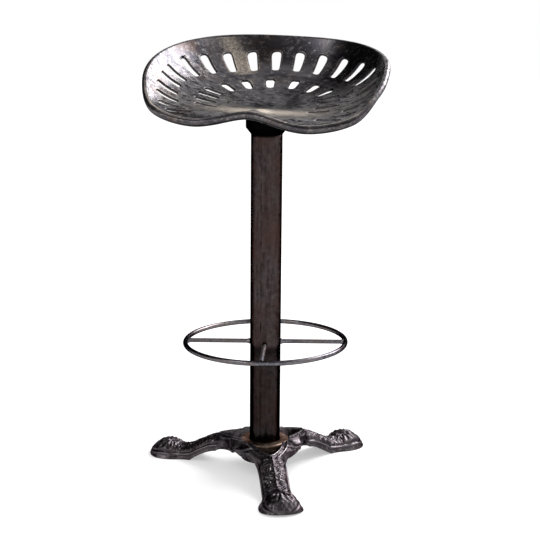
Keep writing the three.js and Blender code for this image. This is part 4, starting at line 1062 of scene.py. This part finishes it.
def spoke_grid(degrees):
    """A round bar from the column to the ring, and its wear.

    Its radius gains a bell at each end, made lumpy by two sines of the turn, for the weld beads.
    """
    start, end = COLUMN_RADIUS - SPOKE_SINK / 2, RING_RADIUS - RING_BAR / 2 + SPOKE_SINK
    along = np.linspace(0, 1, 90)[:, None]
    reach = start + (end - start) * along
    turn = np.linspace(0, 2 * np.pi, 28, endpoint=False)[None, :]
    lumps = 0.35 * np.sin(5 * turn + degrees) + 0.25 * np.sin(9 * turn + 2 * degrees)
    radius = (SPOKE_BAR / 2 + ((WELD_RISES[0] + lumps) * bump(reach, start + 1, 3.4)
                               + (WELD_RISES[1] + lumps) * bump(reach, end - 0.6, 3.2)))
    grid = stacked(reach, radius * np.cos(turn), radius * np.sin(turn))
    wear_and_light = 1 - 1.6 * bump(reach, end - 1, 3) - 1.3 * bump(reach, start + 4, 5)
    return lean(turned_about(grid, degrees)), wear_and_light


mesh_piece("ring_bar", [(ring_grid()[:, ::-1], "cr", 0)], RING_STEEL, "base", ["foot_ring"])
for side, angle in SPOKE_ANGLES.items():
    grid, wear_and_light = spoke_grid(angle)
    ends = [np.stack([np.broadcast_to(line.mean(axis=0), line.shape), line][::step])
            for line, step in ((grid[0], 1), (grid[-1], -1))]
    mesh_piece(f"spoke_{side}_bar", [(grid, "c", wear_and_light), (ends[0], "c", 0), (ends[1], "c", -0.9)], RING_STEEL,
               "base", [f"spoke_{side}"])


# Finishes of the pieces kept as the frame has them
KEPT = {
    BLACK_STEEL_AND_SHADE: ["swivel_housing", "hub_plate", "column_foot_plug", "swivel_plate"],
    ZINC_STEEL: ["spindle", "spindle_washer", "spindle_nut", "base_bolt", "base_washer",
                 "leg_screw_front", "leg_screw_left", "leg_screw_right", "seat_screw_back_left",
                 "seat_screw_back_right", "seat_screw_front_left", "seat_screw_front_right"],
    BRONZE: ["spindle_bushing", "thrust_washer"],
}
for material, nodes in KEPT.items():
    for node in nodes:
        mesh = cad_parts[node].data
        mesh.materials.clear()
        mesh.materials.append(material)


# Floor, background, lamps and camera, in metres
SQUARE = [(-1, -1), (1, -1), (1, 1), (-1, 1)]
FLOOR_REACH = 14.0
GLOW_DISTANCES = (0.7, 2.6)
GLOWS = (0.42, 0.8)
LAMP_BASE = 0.75  # lamps and cards stand round this height
AIM_HEIGHT = 0.72  # and point here on the column's axis


def seen_ray(tree):
    """1 for rays that the camera, a reflection or glass sees, 0 for rays that carry light."""
    path = add(tree, "ShaderNodeLightPath")
    seen = add(tree, "ShaderNodeMath", {0: path.outputs["Is Camera Ray"], 1: path.outputs["Is Glossy Ray"]},
               operation="MAXIMUM").outputs[0]
    return add(tree, "ShaderNodeMath", {0: seen, 1: path.outputs["Is Transmission Ray"]},
               operation="MAXIMUM").outputs[0]


def flat_square(name, corners, material):
    """A four-cornered stage piece."""
    mesh = bpy.data.meshes.new(name)
    mesh.from_pydata([tuple(corner) for corner in corners], [], [(0, 1, 2, 3)])
    mesh.materials.append(material)
    square = in_scene(name, mesh)
    return square


def stage_floor():
    """A plain pale floor that glows for seen rays alone, so that it reads white away from the stool.

    The glow is lower near the stool, where it would drown the shadow.
    """
    material, tree, shader, place = new_material("pale_floor")
    shader.inputs["Base Color"].default_value = linear("#c8c8c8")
    shader.inputs["Roughness"].default_value = 0.9
    shader.inputs["Emission Color"].default_value = linear("#ffffff")
    far = add(tree, "ShaderNodeVectorMath", {0: place}, operation="LENGTH").outputs["Value"]
    glow = add(tree, "ShaderNodeMapRange", {"Value": far, "From Min": GLOW_DISTANCES[0],
                                            "From Max": GLOW_DISTANCES[1], "To Min": GLOWS[0],
                                            "To Max": GLOWS[1]}).outputs[0]
    lift = add(tree, "ShaderNodeMath", {0: seen_ray(tree), 1: glow}, operation="MULTIPLY")
    tree.links.new(lift.outputs[0], shader.inputs["Emission Strength"])
    flat_square("floor", [(x * FLOOR_REACH, y * FLOOR_REACH, 0) for x, y in SQUARE], material)


def white_surroundings(level):
    """World that the camera, reflections and glass see as white, and that lights at a lower level."""
    world = bpy.data.worlds.new("studio")
    bpy.context.scene.world = world
    world.use_nodes = True
    tree = world.node_tree
    tree.nodes.clear()
    strength = add(tree, "ShaderNodeMapRange", {"Value": seen_ray(tree), "To Min": level, "To Max": 1.0})
    sky = add(tree, "ShaderNodeBackground", {"Color": linear("#ffffff"), "Strength": strength.outputs[0]})
    add(tree, "ShaderNodeOutputWorld", {"Surface": sky.outputs[0]})


def from_view(azimuth, elevation, distance):
    """A place round the seat: azimuth 0 is straight behind it as the camera looks, 90 is to its right."""
    heading = np.radians(VIEW_TURN - azimuth)
    rise = np.radians(elevation)
    flat = distance * np.cos(rise)
    offset = (-flat * np.sin(heading), flat * np.cos(heading), LAMP_BASE + distance * np.sin(rise))
    return Vector(AXIS * MM) + Vector(offset)


def facing_seat(place):
    """The turn that points -Z from a place to the middle of the seat."""
    return (Vector(AXIS * MM) + Vector((0, 0, AIM_HEIGHT)) - place).to_track_quat("-Z", "Y")


def lamp(name, azimuth, elevation, distance, width, height, radiance):
    """A soft lamp of a given radiance, where white paper is about 1."""
    light = bpy.data.lights.new(name, "AREA")
    light.shape = "RECTANGLE"
    light.size, light.size_y = width, height
    light.energy = radiance * np.pi * width * height
    lit = in_scene(name, light)
    lit.location = from_view(azimuth, elevation, distance)
    lit.rotation_euler = facing_seat(lit.location).to_euler()


def dark_card(name, azimuth, elevation, distance, width, height, shade):
    """A dark studio card that only reflections see, so that the polished side walls keep their shade."""
    material, _, shader, _ = new_material(name)
    shader.inputs["Base Color"].default_value = linear(shade)
    shader.inputs["Roughness"].default_value = 1.0
    at = from_view(azimuth, elevation, distance)
    turn = facing_seat(at)
    corners = [at + turn @ Vector((x * width / 2, y * height / 2, 0)) for x, y in SQUARE]
    card = flat_square(name, corners, material)
    card.visible_camera = card.visible_diffuse = card.visible_shadow = False


def photo_camera():
    """Camera at the photograph's viewing angle, on a circle round the column and looking past its axis.

    Right and up are the level right and the up square to the line of sight, turned by the roll.
    """
    around, heading = np.radians(VIEW_TURN), np.radians(VIEW_TURN - CAMERA_ASIDE)
    tilt, roll = np.radians(CAMERA_TILT), np.radians(CAMERA_ROLL)
    ahead = Vector((-np.sin(heading), np.cos(heading), 0))
    forward = ahead * np.cos(tilt) - Vector((0, 0, 1)) * np.sin(tilt)
    level_right = Vector((np.cos(heading), np.sin(heading), 0))
    level_up = level_right.cross(forward)
    right = level_right * np.cos(roll) + level_up * np.sin(roll)
    up = level_up * np.cos(roll) - level_right * np.sin(roll)
    stand = Vector((CAMERA_DISTANCE * np.sin(around), -CAMERA_DISTANCE * np.cos(around), CAMERA_HEIGHT))
    lens = bpy.data.cameras.new("photo_camera")
    lens.lens = CAMERA_LENS
    lens.sensor_width = 36
    lens.clip_end = 60
    camera = in_scene("photo_camera", lens)
    turn = Matrix((right, up, -forward)).transposed().to_4x4()
    camera.matrix_world = Matrix.Translation(Vector(AXIS * MM) + stand) @ turn
    bpy.context.scene.camera = camera


stage_floor()
white_surroundings(level=0.6)
# The key shines down the left wall and the right rim, the strip edges the right side, the fill opens
# the legs and the front, and the cards darken what the right wall, the back wall and the saddle mirror
lamp("key_right_behind", azimuth=49, elevation=33, distance=2.6, width=2.0, height=1.45, radiance=12.0)
lamp("strip_right", azimuth=106, elevation=30, distance=2.4, width=1.0, height=1.5, radiance=1.4)
lamp("fill_front_left", azimuth=-140, elevation=42, distance=3.0, width=1.6, height=2.0, radiance=2.9)
dark_card("card_left", azimuth=-62, elevation=32, distance=2.4, width=4.0, height=3.0, shade="#161616")
dark_card("card_above_camera", azimuth=180, elevation=60, distance=2.3, width=2.6, height=2.2,
          shade="#6a6a6a")
photo_camera()
bpy.context.scene.view_settings.view_transform = "Standard"
